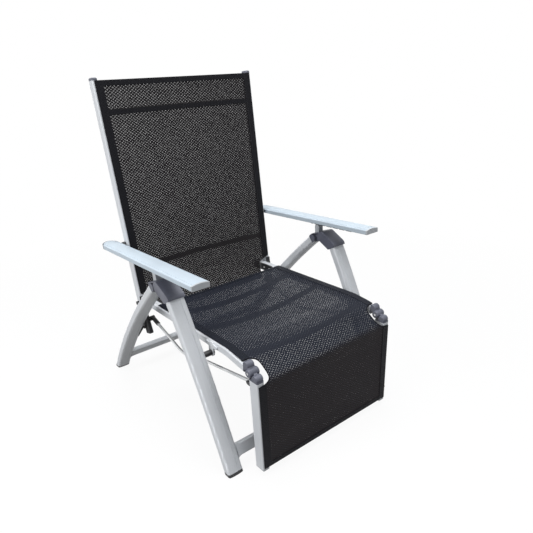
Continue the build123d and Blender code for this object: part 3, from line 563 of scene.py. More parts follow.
class SidePath:
    """Smooth line in the side view that cloth follows, measured along its length."""

    # Step of a search along the line, and reach to each side when its direction is taken.
    SEARCH_STEP, REACH = 0.0005, 0.004

    def __init__(self, points: Sequence[Point], outer: float = 1.0) -> None:
        """Measure a line of close points.

        Args:
            points: Points (y, z) in order, in metres.
            outer: 1 where the cloth's outer face is on the left of the line, -1 where it is on the right.
        """
        self.points = list(points)
        self.outer = outer
        self.reach = [0.0]
        for first, second in zip(self.points, self.points[1:]):
            self.reach.append(self.reach[-1] + hypot(second[0] - first[0], second[1] - first[1]))

    @property
    def length(self) -> float:
        """Whole length of the line."""
        return self.reach[-1]

    def at(self, distance: float) -> Point:
        """Point on the line, held at its ends.

        Args:
            distance: Metres along the line.

        Returns:
            The point.
        """
        distance = min(max(distance, 0.0), self.length)
        low, high = 0, len(self.reach) - 1
        while high - low > 1:
            middle = (low + high) // 2
            low, high = (middle, high) if self.reach[middle] <= distance else (low, middle)
        share = (distance - self.reach[low]) / (self.reach[high] - self.reach[low])
        first, second = self.points[low], self.points[high]
        return (first[0] + share * (second[0] - first[0]), first[1] + share * (second[1] - first[1]))

    def nearest(self, place: Point) -> float:
        """Distance along the line of the point nearest to a place."""
        steps = even_steps(0.0, self.length, self.SEARCH_STEP)
        return min(steps, key=lambda step: hypot(self.at(step)[0] - place[0], self.at(step)[1] - place[1]))

    def facing(self, distance: float) -> Point:
        """Direction out of the cloth's outer face.

        Args:
            distance: Metres along the line.

        Returns:
            The unit direction, square to the line.
        """
        first, second = self.at(distance - self.REACH), self.at(distance + self.REACH)
        run, rise = second[0] - first[0], second[1] - first[1]
        span = hypot(run, rise) * self.outer
        return (-rise / span, run / span)


def bent_line(points: Sequence[Point], radii: Sequence[float], step: float = 0.004) -> list[Point]:
    """Straight runs joined by round bends.

    Args:
        points: Start, corners and end.
        radii: Radius of the bend at each corner.
        step: Length from point to point round the bends.

    Returns:
        Close points along the line.
    """
    line = [tuple(points[0])]
    for index, radius in enumerate(radii):
        start, corner, end = (Vector(point) for point in points[index:index + 3])
        before, after = (start - corner).normalized(), (end - corner).normalized()
        turn = pi - before.angle(after)
        reach = radius * tan(turn / 2)
        first, last = corner + before * reach, corner + after * reach
        centre = corner + (before + after).normalized() * (radius / cos(turn / 2))
        arm, goal = first - centre, last - centre
        sign = 1.0 if arm.x * goal.y - arm.y * goal.x > 0 else -1.0
        for angle in even_steps(0.0, sign * turn, turn / max(2, int(radius * turn / step))):
            line.append(tuple(centre + Matrix.Rotation(angle, 2) @ arm))
    return [*line, tuple(points[-1])]


class Finishes:
    """All the finishes of the armchair, made once."""

    SILVER: Colour = (0.70, 0.72, 0.75)
    BLACK_YARN: Colour = (0.008, 0.008, 0.011)
    HEM_STITCH = 0.0030

    def __init__(self) -> None:
        """Make the materials and put them in a table by name."""
        recipes = [
            Aluminium("front_leg_aluminium", self.SILVER, lean=26.1),
            Aluminium("rear_leg_aluminium", self.SILVER, lean=-42.9),
            Aluminium("back_tube_aluminium", self.SILVER, lean=5.5),
            Aluminium("rail_aluminium", self.SILVER, lean=93.1),
            Aluminium("footrest_aluminium", self.SILVER, lean=1.0),
            # Near-black crossbars: painted shade for the dark they lie in behind the mesh.
            MouldedPlastic("crossbar_coating", (0.012, 0.012, 0.014), roughness=0.5, grain=900.0),
            Aluminium("leg_bar_aluminium", self.SILVER, across=True),
            Aluminium("rod_aluminium", (0.80, 0.81, 0.82), lean=97.0, roughness=0.3, metallic=0.6),
            # Bluer than the frame's silver: a painted reflection of the sky on the armrest.
            Aluminium("armrest_aluminium", (0.55, 0.63, 0.70), lean=82.4, roughness=0.5, metallic=0.12),
            MouldedPlastic("knuckle_plastic", (0.085, 0.090, 0.118)),
            MouldedPlastic("grey_cap_plastic", (0.42, 0.44, 0.46), roughness=0.4),
            MouldedPlastic("black_plastic", (0.014, 0.014, 0.016), roughness=0.38),
            TurnedSteel("pin_steel"),
            MeshCloth("back_mesh_cloth", (0.020, 0.018, 0.020), (0.052, 0.048, 0.052), opening=0.88),
            # The seat's bluish yarn and crown highlights are a painted reflection of the sky, on a cloth like
            # the back's.
            MeshCloth("seat_mesh_cloth", (0.018, 0.021, 0.032), (0.045, 0.050, 0.064), opening=0.93,
                      # Towards its lower end this cloth gets painted shade and warm painted bounce light.
                      shade_span=(0.555, 0.585), shade_hole_share=0.86, bounce_yarn=(0.027, 0.021, 0.022)),
            MeshCloth("hem_cloth", self.BLACK_YARN, (0.020, 0.020, 0.025), stitch_from_edge=self.HEM_STITCH),
            # The seat hems' bluish yarn is the same painted sky reflection on the black hem cloth.
            MeshCloth("seat_hem_cloth", (0.011, 0.013, 0.020), (0.026, 0.030, 0.042),
                      stitch_from_edge=self.HEM_STITCH),
            MeshCloth("binding_tape", (0.004, 0.004, 0.006), (0.006, 0.006, 0.008), repeat=(0.0042, 0.0042)),
        ]
        self.table = {recipe.name: recipe.build() for recipe in recipes}

    def __getitem__(self, name: str) -> bpy.types.Material:
        """Material of this name."""
        return self.table[name]


class Frame:
    """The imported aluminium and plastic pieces, which only get their finishes."""

    NODES_OF = {
        "front_leg_aluminium": ("front_leg",),
        "rear_leg_aluminium": ("rear_leg",),
        "back_tube_aluminium": ("back_tube",),
        "rail_aluminium": ("seat_rail", "pivot_brackets"),
        "footrest_aluminium": ("footrest_tube",),
        "leg_bar_aluminium": ("front_crossbar", "rear_crossbar"),
        "rod_aluminium": ("push_rod",),
        "armrest_aluminium": ("armrest",),
        "crossbar_coating": ("seat_crossbar_front", "seat_crossbar_middle", "seat_crossbar_rear",
                             "upper_crossbar", "lumbar_crossbar", "footrest_crossbar_upper",
                             "footrest_crossbar_lower"),
        "knuckle_plastic": ("rail_knuckles", "footrest_knuckles", "apex_front_caps", "apex_rear_caps",
                            "apex_pins", "back_top_caps", "armrest_rear_rim"),
        "grey_cap_plastic": ("armrest_front_cap", "catch_fins", "footrest_end_caps"),
        "black_plastic": ("armrest_rack", "armrest_spacers", "rod_socket", "rod_lugs", "seat_hinge_plates",
                          "hinge_washers", "front_feet", "rear_feet", "seat_pivot_bushes", "link_plates",
                          "back_end_fittings", "recline_pins", "tube_bolts"),
        "pin_steel": ("hinge_screws", "seat_pivot_pins", "link_pins", "armrest_bolts", "rod_pins",
                      "footrest_pins"),
        "seat_mesh_cloth": ("seat_fabric", "footrest_fabric"),
        "back_mesh_cloth": ("back_fabric",),
    }

    def __init__(self, nodes: dict[str, bpy.types.Object], finishes: Finishes) -> None:
        """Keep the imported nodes.

        Args:
            nodes: The frame's nodes by name.
            finishes: The armchair's finishes.
        """
        self.nodes, self.finishes = nodes, finishes

    def dress(self) -> None:
        """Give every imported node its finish, whichever side it is on."""
        finish_of = {node: finish for finish, names in self.NODES_OF.items() for node in names}
        for name, piece in self.nodes.items():
            finish = finish_of[name.removesuffix("_left").removesuffix("_right")]
            dress(piece, self.finishes[finish])
            LOG.info("%s in %s", name, finish)


@dataclass(frozen=True)
class Layer:
    """How a sheet lies in a cloth.

    Attributes:
        lift: Metres that it lies outside the cloth's middle surface.
        thickness: Metres through it.
        columns: Number of cells across it.
    """

    lift: float
    thickness: float
    columns: int


MESH = Layer(0.0, 0.0008, 56)
SIDE_HEM = Layer(0.0011, 0.0010, 6)
END_HEM = Layer(0.0011, 0.0010, 48)
END_HEM_BEHIND = Layer(-0.0011, 0.0010, 48)
TONGUE_HEM = Layer(0.0011, 0.0010, 44)
SEWN_BAND = Layer(0.0010, 0.0008, 48)


@dataclass
class Sling:
    """Cloth stretched over the frame's members on both sides, with sewn hems.

    Attributes:
        finishes: The armchair's finishes.
        half: Half width over the side members.
        level: Half width inside which the cloth is flat.
        roll: Radius of the side members' rounded edges, which the cloth bends over.
        hem: Width of the side hems.
    """

    finishes: Finishes
    half: float
    level: float
    roll: float
    hem: float = 0.024

    # Width over each side member where the cloth doesn't sag, and the share of the roll it bends over.
    HELD, ROLLED = 0.02, 0.9
    # Steps between rows, where the cloth is plain and in its lower hem.
    WIDE_STEP, LOW_STEP = 0.011, 0.0035
    SMOOTH_TO = 50

    @cached_property
    def path(self) -> SidePath:
        """Line of the cloth's middle in the side view."""
        raise NotImplementedError

    def half_width(self, distance: float) -> float:
        """Half of the width at a distance along the line."""
        raise NotImplementedError

    def sag(self, distance: float) -> float:
        """How far the middle lies under the side members at a distance."""
        raise NotImplementedError

    def place(self, distance: float, x: float, lift: float = 0.0) -> Vector:
        """Point on the cloth.

        Args:
            distance: Metres along the line.
            x: Metres from the middle plane.
            lift: Metres above the cloth's middle surface.

        Returns:
            The point in the frame.
        """
        line, face = self.path.at(distance), self.path.facing(distance)
        inner = min(1.0, abs(x) / (self.level - self.HELD))
        drop = -self.sag(distance) * (1 - inner * inner)
        over = max(0.0, abs(x) - self.level)
        if over:
            drop -= self.roll - sqrt(self.roll ** 2 - min(over, self.roll * self.ROLLED) ** 2)
        return Vector((x, line[0] + face[0] * (drop + lift), line[1] + face[1] * (drop + lift)))

    def strip(self, name: str, rows: Sequence[float], edges: Edges, layer: Layer,
              from_edge: bool = False) -> bpy.types.Object:
        """Sheet on or over the cloth, between two lines along it.

        Args:
            name: Name of the piece.
            rows: Distances along the cloth.
            edges: First and last x at a distance.
            layer: How the sheet lies in the cloth.
            from_edge: True to measure the pattern from the first line, not from the middle plane.

        Returns:
            The new piece.
        """
        points, flat, faces = [], [], []
        for distance in rows:
            first, last = edges(distance)
            for column in range(layer.columns + 1):
                x = first + column / layer.columns * (last - first)
                points.append(tuple(self.place(distance, x, layer.lift)))
                flat.append(((x - first) if from_edge else x, distance))
        width = layer.columns + 1
        for row in range(len(rows) - 1):
            for corner in range(row * width, row * width + layer.columns):
                faces.append((corner, corner + 1, corner + width + 1, corner + width))
        mesh = bpy.data.meshes.new(name)
        mesh.from_pydata(points, [], faces)
        cut = mesh.uv_layers.new(name="cut")
        for loop in mesh.loops:
            cut.data[loop.index].uv = flat[loop.vertex_index]
        piece = place_object(name, mesh)
        select_only(piece)
        outward = Vector((0.0, *self.path.facing(rows[len(rows) // 2])))
        if mesh.polygons[len(mesh.polygons) // 2].normal.dot(outward) < 0:
            mesh.flip_normals()
        solid = piece.modifiers.new("thickness", "SOLIDIFY")
        solid.thickness, solid.offset = layer.thickness, 0.0
        bpy.ops.object.modifier_apply(modifier=solid.name)
        bpy.ops.object.shade_smooth_by_angle(angle=radians(self.SMOOTH_TO))
        return piece

    def mesh(self, name: str, rows: Sequence[float]) -> bpy.types.Object:
        """Whole mesh of the cloth, through these rows."""
        return self.strip(name, rows, lambda d: (-self.half_width(d), self.half_width(d)), MESH)

    def side_hem(self, name: str, side: Side, rows: Sequence[float]) -> bpy.types.Object:
        """Hem along one side of the cloth, through these rows."""
        edges = ((self.half - self.hem) * side.value, self.half * side.value)
        return self.strip(f"{name}_side_hem_{side.name.lower()}", rows, lambda d: edges, SIDE_HEM, True)

    def cross_hem(self, name: str, rows: Sequence[float], layer: Layer, half: float = 0.0) -> bpy.types.Object:
        """Hem or band from side to side, as far as the side hems or this half width."""
        reach = half or self.half - self.hem
        return self.strip(name, rows, lambda d: (-reach, reach), layer)


@dataclass
class BackSling(Sling):
    """Mesh of the back, from its tongue between the seat rails up to its top hem.

    Attributes:
        tube_foot: Lower point of the tubes' line.
        hinge: Corner of the tubes' line.
        tube_top: Top of the tubes' line.
        bend: Radius of the tubes' bend.
        stand: Distance from the tubes' line to the cloth's middle.
        low: Height of the lower edge.
        tongue_half: Half width between the seat rails.
        notch_height: Height where the tongue ends.
        shoulder: Length over which the tongue widens.
        slack: How far the middle sags between the tubes.
        top_hem: Width of the top hem.
        low_hem: Width of the lower hem.
        seam_height: Height of the sewn band.
        seam_width: Width of the sewn band.
    """

    half: float = 0.2798
    level: float = 0.2795
    roll: float = 0.006
    tube_foot: Point = (0.19374, 0.23414)
    hinge: Point = (0.22331, 0.33818)
    tube_top: Point = (0.29015, 1.03778)
    bend: float = 0.320
    stand: float = 0.0165
    low: float = 0.2927
    tongue_half: float = 0.2335
    notch_height: float = 0.3668
    shoulder: float = 0.024
    slack: float = 0.007
    top_hem: float = 0.016
    low_hem: float = 0.014
    seam_height: float = 0.9490
    seam_width: float = 0.013

    # Shares of the length where the slack is full and where the top draws it in again, and by how much.
    SLACK_FULL, DRAWN_FROM, DRAWN = 0.15, 0.75, 0.7
    # Close rows start this far under the notch's height and end this far over it, then the side hems' start.
    CLOSE_UNDER, CLOSE_OVER, HEM_OVER = 0.018, 0.016, 0.010
    # Steps between rows on the tongue, round its shoulder and in the top hem.
    TONGUE_STEP, CLOSE_STEP, TOP_STEP = 0.009, 0.0025, 0.004
    # How far the top hem passes the mesh, and how far the lower hem stays inside it.
    PAST_TOP, INSIDE = 0.0005, 0.0005

    @cached_property
    def path(self) -> SidePath:
        """Line of the cloth's middle in the side view.

        Returns:
            The line from the lower edge to the top edge.
        """
        foot, hinge, top = Vector(self.tube_foot), Vector(self.hinge), Vector(self.tube_top)
        lower, upper = hinge - foot, top - hinge
        face_low = Vector((-lower.y, lower.x)).normalized() * self.stand
        face_high = Vector((-upper.y, upper.x)).normalized() * self.stand
        start = foot + face_low
        corner = hinge + (face_low + face_high).normalized() * self.stand
        line = bent_line((start, corner, top + face_high), (self.bend + self.stand,))
        kept = [point for point in line if point[1] > self.low]
        share = (self.low - start.y) / (kept[0][1] - start.y)
        return SidePath([(start.x + share * (kept[0][0] - start.x), self.low), *kept])

    @property
    def turn(self) -> float:
        """Distance along the line where the tongue ends."""
        return self.notch_height - self.low

    def half_width(self, distance: float) -> float:
        """Half of the width at a distance along the line."""
        narrow = smooth(self.turn + self.shoulder / 2 - distance, 0.0, self.shoulder)
        return self.half - (self.half - self.tongue_half) * narrow

    def sag(self, distance: float) -> float:
        """How far the middle lies behind the tubes.

        Args:
            distance: Metres along the line.

        Returns:
            The depth in metres.
        """
        share = distance / self.path.length
        drawn = 1 - self.DRAWN * smooth(share, self.DRAWN_FROM, 1.0)
        return self.slack * smooth(share, 0.0, self.SLACK_FULL) * drawn

    def build(self) -> list[bpy.types.Object]:
        """Make the mesh, its hems and its sewn band.

        Returns:
            The new pieces.
        """
        length, close, wide = self.path.length, self.turn - self.CLOSE_UNDER, self.turn + self.CLOSE_OVER
        rows = graded_steps((0.0, close, self.TONGUE_STEP), (close, wide, self.CLOSE_STEP),
                            (wide, length, self.WIDE_STEP))
        mesh = self.mesh("back_mesh", rows)
        tall = [row for row in rows if row > self.turn + self.HEM_OVER]
        ends = even_steps(length - self.top_hem, length + self.PAST_TOP, self.TOP_STEP)
        seam, half_seam = length - (self.tube_top[1] - self.seam_height), self.seam_width / 2
        band = even_steps(seam - half_seam, seam + half_seam, self.TOP_STEP)
        foot = even_steps(0.0, self.low_hem, self.LOW_STEP)
        hems = [self.side_hem("back", side, tall) for side in Side]
        hems += [self.cross_hem("back_top_hem", ends, END_HEM),
                 self.cross_hem("back_top_hem_behind", ends, END_HEM_BEHIND),
                 self.cross_hem("back_sewn_band", band, SEWN_BAND),
                 self.cross_hem("back_lower_hem", foot, TONGUE_HEM, self.tongue_half - self.INSIDE)]
        dress(mesh, self.finishes["back_mesh_cloth"])
        for hem in hems:
            dress(hem, self.finishes["hem_cloth"])
        for piece in [mesh, *hems]:
            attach(piece, Body.BACK.value)
        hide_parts("back_fabric")
        return [mesh, *hems]


@dataclass
class SeatSling(Sling):
    """Mesh of the seat and footrest, one cloth drawn taut past the footrest pins.

    Attributes:
        rear: Rear end of the cloth, over the seat rails.
        corner: Corner over the rails' bend.
        lip: Corner at the rails' front end.
        shin: Corner where the cloth meets the footrest tubes.
        foot: Lower end of the cloth.
        bends: Radius of the bend at each corner.
        notch_depth: Depth of the cut-outs beside the knuckles.
        notch_before: How far the cut-outs start before the lip.
        notch_after: How far they end past the shin.
        seat_slack: How far the middle sags between the rails.
        foot_slack: How far it sags between the footrest tubes.
        rear_hem: Width of the rear hem.
        foot_hem: Width of the hem at the lower end.
        tape: Radius of the cut-outs' binding tape.
    """

    half: float = 0.2624
    level: float = 0.2622
    roll: float = 0.005
    rear: Point = (0.11964, 0.35669)
    corner: Point = (-0.29207, 0.37257)
    lip: Point = (-0.36892, 0.36556)
    shin: Point = (-0.43801, 0.32125)
    foot: Point = (-0.44294, 0.02792)
    bends: tuple[float, float, float] = (0.180, 0.060, 0.012)
    notch_depth: float = 0.0445
    notch_before: float = 0.002
    notch_after: float = 0.010
    seat_slack: float = 0.009
    foot_slack: float = 0.006
    rear_hem: float = 0.013
    foot_hem: float = 0.014
    tape: float = 0.0017

    # Where the seat's slack starts and is full, and over what length the lip ends it.
    SLACK_START, SLACK_FULL, LIP_FADE = -0.05, 0.18, 0.12
    # Over what length the footrest's slack grows under the shin, and over what length it ends.
    SHIN_RISE, FOOT_FADE = 0.10, 0.06
    # Steps between rows beside the cut-outs, and where the area is summed.
    CLOSE_STEP, AREA_STEP = 0.0028, 0.002
    # Steps round a quarter of the tape, and degrees up to which it is shaded smooth.
    TAPE_STEPS, TAPE_SMOOTH_TO = 3, 60

    @cached_property
    def path(self) -> SidePath:
        """Line of the cloth from its rear end over the lip and down to its lower end."""
        corners = (self.rear, self.corner, self.lip, self.shin, self.foot)
        return SidePath(bent_line(corners, self.bends), outer=-1.0)

    @cached_property
    def front(self) -> tuple[float, float]:
        """Distances along the line of the lip and the shin."""
        return self.path.nearest(self.lip), self.path.nearest(self.shin)

    @property
    def cut(self) -> tuple[float, float]:
        """Distances along the line where the cut-outs start and end."""
        return self.front[0] - self.notch_before, self.front[1] + self.notch_after

    def half_width(self, distance: float) -> float:
        """Half of the width at a distance along the line."""
        return self.half - rounded_notch(distance, *self.cut, self.notch_depth)

    def sag(self, distance: float) -> float:
        """How far the middle lies under the rails or behind the footrest tubes.

        Args:
            distance: Metres along the line.

        Returns:
            The depth in metres.
        """
        (start, end), length = self.front, self.path.length
        seat = smooth(distance, self.SLACK_START, self.SLACK_FULL)
        seat *= 1 - smooth(distance, start - self.LIP_FADE, start)
        front = smooth(distance, end, end + self.SHIN_RISE)
        front *= 1 - smooth(distance, length - self.FOOT_FADE, length)
        return self.seat_slack * seat + self.foot_slack * front

    def build(self) -> list[bpy.types.Object]:
        """Make the mesh, its hems and the bindings of its cut-outs.

        Returns:
            The new pieces.
        """
        (start, end), length = self.cut, self.path.length
        rows = graded_steps((0.0, start, self.WIDE_STEP), (start, end, self.CLOSE_STEP),
                            (end, length, self.WIDE_STEP))
        mesh = self.mesh("seat_mesh", rows)
        runs = {"seat": [row for row in rows if row <= start], "footrest": [row for row in rows if row >= end]}
        ends = {"seat": even_steps(0.0, self.rear_hem, self.LOW_STEP),
                "footrest": even_steps(length - self.foot_hem, length, self.LOW_STEP)}
        hems = [self.side_hem(label, side, run) for side in Side for label, run in runs.items()]
        hems += [self.cross_hem(label + "_end_hem", run, END_HEM) for label, run in ends.items()]
        for hem in hems:
            label = hem.name.split("_")[0]
            dress(hem, self.finishes["hem_cloth" if label == "footrest" else "seat_hem_cloth"])
            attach(hem, label)
        bindings = [self.binding(side) for side in Side]
        dress(mesh, self.finishes["seat_mesh_cloth"])
        lip, shin = ((0.0, *self.path.at(distance)) for distance in self.front)
        for piece in [mesh, *bindings]:
            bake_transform(piece)
        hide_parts("seat_fabric", "footrest_fabric")
        steps = even_steps(0.0, length, self.AREA_STEP)
        lost = 2 * sum(self.half - self.half_width(row) for row in steps) * self.AREA_STEP
        return [mesh, *hems, *bindings]

    def binding(self, side: Side) -> bpy.types.Object:
        """Tape that binds the edge of one cut-out.

        Args:
            side: Side of the armchair.

        Returns:
            The new piece.
        """
        name = "cutout_binding_" + side.name.lower()
        curve = bpy.data.curves.new(name, "CURVE")
        curve.dimensions, curve.use_fill_caps = "3D", True
        curve.bevel_depth, curve.bevel_resolution = self.tape, self.TAPE_STEPS
        line = curve.splines.new("POLY")
        rows = even_steps(*self.cut, self.CLOSE_STEP)
        line.points.add(len(rows) - 1)
        for point, row in zip(line.points, rows):
            point.co = (*self.place(row, self.half_width(row) * side.value), 1.0)
        select_only(place_object(name, curve))
        bpy.ops.object.convert(target="MESH")
        piece = bpy.context.view_layer.objects.active
        bpy.ops.object.shade_smooth_by_angle(angle=radians(self.TAPE_SMOOTH_TO))
        dress(piece, self.finishes["binding_tape"])
        return piece


@dataclass
class WeldBeads:
    """Weld beads where the round crossbars meet the side members.

    Attributes:
        finishes: The armchair's finishes.
        bars: Packed crossbars, with the body that each belongs to.
        bead: Radius of a bead.
    """

    finishes: Finishes
    bars: tuple[tuple[str, Body], ...] = (
        ("seat_crossbar_front", Body.SEAT), ("seat_crossbar_middle", Body.SEAT),
        ("seat_crossbar_rear", Body.SEAT), ("upper_crossbar", Body.BACK), ("lumbar_crossbar", Body.BACK),
        ("footrest_crossbar_upper", Body.FOOTREST), ("footrest_crossbar_lower", Body.FOOTREST),
    )
    bead: float = 0.0016

    # Points within this of a bar's end are on its rim.
    RIM = 0.0004
    # How far a bead's middle lies inside the bar's end, and how far its points stray, in radii of the bead.
    INSIDE, STRAY = 0.7, 0.28
    UNIFORM, NORMAL, FIRST_SEED = 0.6, 0.4, 3
    AROUND, THROUGH, SMOOTH_TO = 44, 10, 80

    def end_of(self, bar: str, side: Side) -> tuple[Vector, float]:
        """Middle and radius of a crossbar's end.

        Args:
            bar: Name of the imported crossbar.
            side: Which end.

        Returns:
            The middle point and the radius.
        """
        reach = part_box(bar)[1].x
        corners = [vertex.co for vertex in bpy.data.objects[bar].data.vertices]
        rim = [corner for corner in corners if corner.x * side.value > reach - self.RIM]
        middle = sum(rim, Vector()) / len(rim)
        return middle, max((corner - middle).length for corner in rim)

    def ring(self, bar: str, side: Side, seed: int) -> bpy.types.Object:
        """Bead round one end of a crossbar.

        Args:
            bar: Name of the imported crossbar.
            side: Which end.
            seed: Start of the random numbers that move its points.

        Returns:
            The new bead.
        """
        middle, radius = self.end_of(bar, side)
        select_only(bpy.context.scene.objects[0])
        bpy.ops.mesh.primitive_torus_add(
            location=middle - Vector((self.bead * self.INSIDE * side.value, 0.0, 0.0)),
            rotation=(0.0, pi / 2, 0.0), major_segments=self.AROUND, minor_segments=self.THROUGH,
            major_radius=radius, minor_radius=self.bead)
        bpy.ops.object.mode_set(mode="EDIT")
        bpy.ops.mesh.select_all(action="SELECT")
        bpy.ops.transform.vertex_random(offset=self.bead * self.STRAY, uniform=self.UNIFORM,
                                        normal=self.NORMAL, seed=seed)
        bpy.ops.object.mode_set(mode="OBJECT")
        return bpy.context.view_layer.objects.active

    def build(self) -> list[bpy.types.Object]:
        """Make a bead round both ends of every crossbar.

        Returns:
            The beads, one piece for each crossbar.
        """
        made = []
        for seed, (bar, body) in enumerate(self.bars, self.FIRST_SEED):
            piece = joined("weld_beads_" + bar, [self.ring(bar, side, seed) for side in Side], self.SMOOTH_TO)
            # The beads take the crossbars' near-black painted shade.
            dress(piece, self.finishes["crossbar_coating"])
            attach(piece, body.value)
            made.append(piece)
        return made


@dataclass
class PanHeads:
    """Cross-recessed pan heads of the hinge screws.

    Attributes:
        finishes: The armchair's finishes.
        radius: Radius of a head.
        height: Height of a head.
    """

    finishes: Finishes
    radius: float = 0.0036
    height: float = 0.0018

    SEGMENTS, RINGS, SMOOTH_TO = 28, 14, 35
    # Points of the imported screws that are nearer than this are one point.
    MERGE = 1e-6
    # Turn of the recess, and its depth in heights, length and width in radii of the head.
    RECESS_TURN, RECESS_DEPTH, RECESS_LENGTH, RECESS_WIDTH = pi / 5, 1.1, 1.25, 0.26

    def places(self) -> list[Vector]:
        """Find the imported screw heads.

        Returns:
            The middle of each.
        """
        mesh = bmesh.new()
        mesh.from_mesh(bpy.data.objects["hinge_screws"].data)
        bmesh.ops.remove_doubles(mesh, verts=mesh.verts, dist=self.MERGE)
        found, seen = [], set()
        for vertex in mesh.verts:
            if vertex in seen:
                continue
            group, edge = {vertex}, [vertex]
            while edge:
                nearby = edge.pop()
                fresh = {link.other_vert(nearby) for link in nearby.link_edges} - group
                group |= fresh
                edge += fresh
            seen |= group
            ends = [(min(parts), max(parts)) for parts in zip(*(point.co for point in group))]
            found.append(Vector((low + high) / 2 for low, high in ends))
        mesh.free()
        return found

    def head(self, middle: Vector) -> bpy.types.Object:
        """One head with a domed face and a cross recess.

        Args:
            middle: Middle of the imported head.

        Returns:
            The new head.
        """
        side = 1.0 if middle.x > 0 else -1.0
        base = middle + Vector((side * self.height / 2, 0.0, 0.0))
        select_only(bpy.context.scene.objects[0])
        bpy.ops.mesh.primitive_uv_sphere_add(segments=self.SEGMENTS, ring_count=self.RINGS,
                                             radius=self.radius, location=base,
                                             rotation=(0.0, -pi / 2 * side, 0.0))
        dome = bpy.context.view_layer.objects.active
        dome.scale = (1.0, 1.0, self.height / self.radius)
        bpy.ops.object.transform_apply(location=False, rotation=False, scale=True)
        face = base - Vector((side * self.height, 0.0, 0.0))
        for turn in (0.0, pi / 2):
            bpy.ops.mesh.primitive_cube_add(size=1.0, location=face,
                                            rotation=(self.RECESS_TURN + turn, 0.0, 0.0))
            blade = bpy.context.view_layer.objects.active
            blade.scale = (self.height * self.RECESS_DEPTH, self.radius * self.RECESS_LENGTH,
                           self.radius * self.RECESS_WIDTH)
            cut = dome.modifiers.new("recess", "BOOLEAN")
            cut.operation, cut.object, cut.solver = "DIFFERENCE", blade, "EXACT"
            select_only(dome)
            bpy.ops.object.modifier_apply(modifier=cut.name)
            bpy.data.objects.remove(blade)
        return dome

    def build(self) -> list[bpy.types.Object]:
        """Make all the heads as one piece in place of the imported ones.

        Returns:
            The new piece, alone in a list.
        """
        piece = joined("hinge_pan_heads", [self.head(middle) for middle in self.places()], self.SMOOTH_TO)
        dress(piece, self.finishes["pin_steel"])
        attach(piece, Body.SEAT.value)
        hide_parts("hinge_screws")
        return [piece]


@dataclass(frozen=True)
class Lamp:
    """Square lamp that faces the armchair.

    Attributes:
        name: Name of the lamp.
        place: Where it hangs.
        size: Length of its side.
        power: Watts.
    """

    name: str
    place: Place
    size: float
    power: float

    AIM = (0.0, 0.0, 0.5)

    def hang(self) -> None:
        """Put the lamp in the scene."""
        data = bpy.data.lights.new(self.name, "AREA")
        data.energy, data.size, data.shape = self.power, self.size, "SQUARE"
        turn = (Vector(self.AIM) - Vector(self.place)).to_track_quat("-Z", "Y").to_matrix().to_4x4()
        place_object(self.name, data).matrix_world = Matrix.Translation(self.place) @ turn


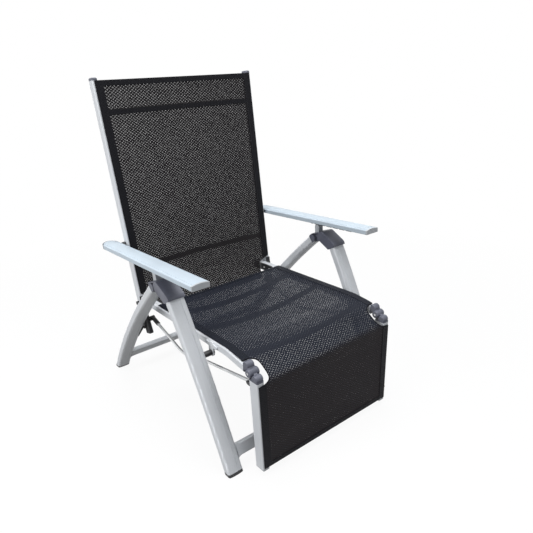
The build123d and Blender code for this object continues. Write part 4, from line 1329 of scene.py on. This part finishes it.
@dataclass
class Studio:
    """Camera, lamps, sky and floor.

    Attributes:
        eye: Place of the camera.
        azimuth: Heading of the camera in degrees from +Y towards +X.
        pitch: Degrees that the camera looks down.
        roll: Degrees that the camera is turned about its own line.
        lens: Focal length in millimetres.
        sensor: Width of the sensor in millimetres.
        shift: Shift of the camera across and up.
        clip: Nearest and farthest that the camera sees.
        lamps: The lamps.
    """

    eye: Place = (-0.8912, -1.3321, 1.0876)
    azimuth: float = 39.330
    pitch: float = 28.059
    roll: float = -1.596
    lens: float = 33.763
    sensor: float = 36.0
    shift: Point = (-0.0391, 0.1057)
    clip: Point = (0.05, 60.0)
    lamps: tuple[Lamp, ...] = (
        Lamp("overhead_lamp", (0.1, -0.1, 3.4), 2.2, 84.0),
        Lamp("key_lamp", (0.6, -2.6, 2.8), 1.8, 22.0),
        Lamp("side_lamp", (-3.0, -0.1, 1.9), 1.6, 66.0),
    )

    SKY_COLOUR, SKY_STRENGTH = (0.88, 0.94, 1.0), 0.24
    # Side of the floor, how far it lies under the soles, and its colour to the armchair and to the eye.
    FLOOR_SIZE, FLOOR_DROP, FLOOR_LIGHT, FLOOR_SEEN = 80.0, 0.0006, (0.15, 0.145, 0.14), (0.90, 0.90, 0.90)
    # Distances from the armchair between which the floor gets whiter to the eye, and its share of white.
    FLOOR_FADE, FLOOR_WHITE = (0.8, 2.2), (0.93, 1.0)

    def camera(self) -> None:
        """Make the camera at the photograph's place."""
        data = bpy.data.cameras.new("photo_camera")
        data.lens, data.sensor_width = self.lens, self.sensor
        data.shift_x, data.shift_y = self.shift
        data.clip_start, data.clip_end = self.clip
        turn, down, spin = radians(self.azimuth), radians(self.pitch), radians(self.roll)
        heading = Vector((sin(turn) * cos(down), cos(turn) * cos(down), -sin(down)))
        level = Vector((cos(turn), -sin(turn), 0.0))
        upright = level.cross(heading)
        right = cos(spin) * level + sin(spin) * upright
        up = -sin(spin) * level + cos(spin) * upright
        frame = Matrix((right, up, -heading)).transposed().to_4x4()
        camera = place_object("photo_camera", data)
        camera.matrix_world = Matrix.Translation(self.eye) @ frame
        bpy.context.scene.camera = camera

    def sky(self) -> None:
        """White background to the eye and in metal, and soft light elsewhere."""
        world = bpy.data.worlds.new("studio_sky")
        bpy.context.scene.world = world
        graph = Graph(world)
        white = graph.node("ShaderNodeBackground", {"Color": WHITE, "Strength": 1.0})
        soft = graph.node("ShaderNodeBackground", {"Color": self.SKY_COLOUR, "Strength": self.SKY_STRENGTH})
        rays = graph.node("ShaderNodeLightPath", {}).outputs
        seen = graph.math("MAXIMUM", rays["Is Camera Ray"], rays["Is Glossy Ray"])
        seen = graph.math("MAXIMUM", seen, rays["Is Transmission Ray"])
        mix = graph.node("ShaderNodeMixShader", {0: seen, 1: soft.outputs[0], 2: white.outputs[0]})
        graph.feed(graph.tree.nodes["World Output"].inputs["Surface"], mix.outputs[0])

    def floor(self) -> None:
        """Pale floor that goes to white for the eye and keeps a soft shadow."""
        select_only(bpy.context.scene.objects[0])
        bpy.ops.mesh.primitive_plane_add(size=self.FLOOR_SIZE, location=(0.0, 0.0, -self.FLOOR_DROP))
        floor = bpy.context.view_layer.objects.active
        floor.name = "studio_floor"
        graph = Graph(bpy.data.materials.new("floor_paint"))
        glow = graph.node("ShaderNodeEmission", {"Color": WHITE, "Strength": 1.0})
        rays = graph.node("ShaderNodeLightPath", {}).outputs
        seen = graph.math("MAXIMUM", rays["Is Camera Ray"], rays["Is Glossy Ray"])
        away = graph.node("ShaderNodeVectorMath", {0: graph.object_place()}, operation="LENGTH")
        share = graph.math("MULTIPLY", seen,
                           graph.spread(away.outputs["Value"], self.FLOOR_FADE, self.FLOOR_WHITE))
        graph.surface({"Base Color": graph.blend(rays["Is Camera Ray"], self.FLOOR_LIGHT, self.FLOOR_SEEN),
                       "Roughness": 0.9, "Specular IOR Level": 0.1})
        mix = graph.node("ShaderNodeMixShader", {0: share, 1: graph.shader.outputs[0], 2: glow.outputs[0]})
        graph.feed(graph.tree.nodes["Material Output"].inputs["Surface"], mix.outputs[0])
        dress(floor, graph.owner)

    def build(self) -> None:
        """Make the whole studio."""
        self.camera()
        self.sky()
        self.floor()
        for lamp in self.lamps:
            lamp.hang()
        bpy.context.scene.view_settings.view_transform = "Standard"
        LOG.info("studio ready")


def main() -> None:
    """Load the frame, then build, dress and report every piece in order."""
    logging.basicConfig(level=logging.INFO, format="%(name)s: %(message)s")
    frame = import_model()
    finishes = Finishes()
    Studio().build()
    Frame(frame["nodes"], finishes).dress()
    for maker in (BackSling(finishes), SeatSling(finishes), WeldBeads(finishes), PanHeads(finishes)):
        for piece in maker.build():
            LOG.info("%s with %d faces", piece.name, len(piece.data.polygons))


if __name__ == "__main__":
    main()
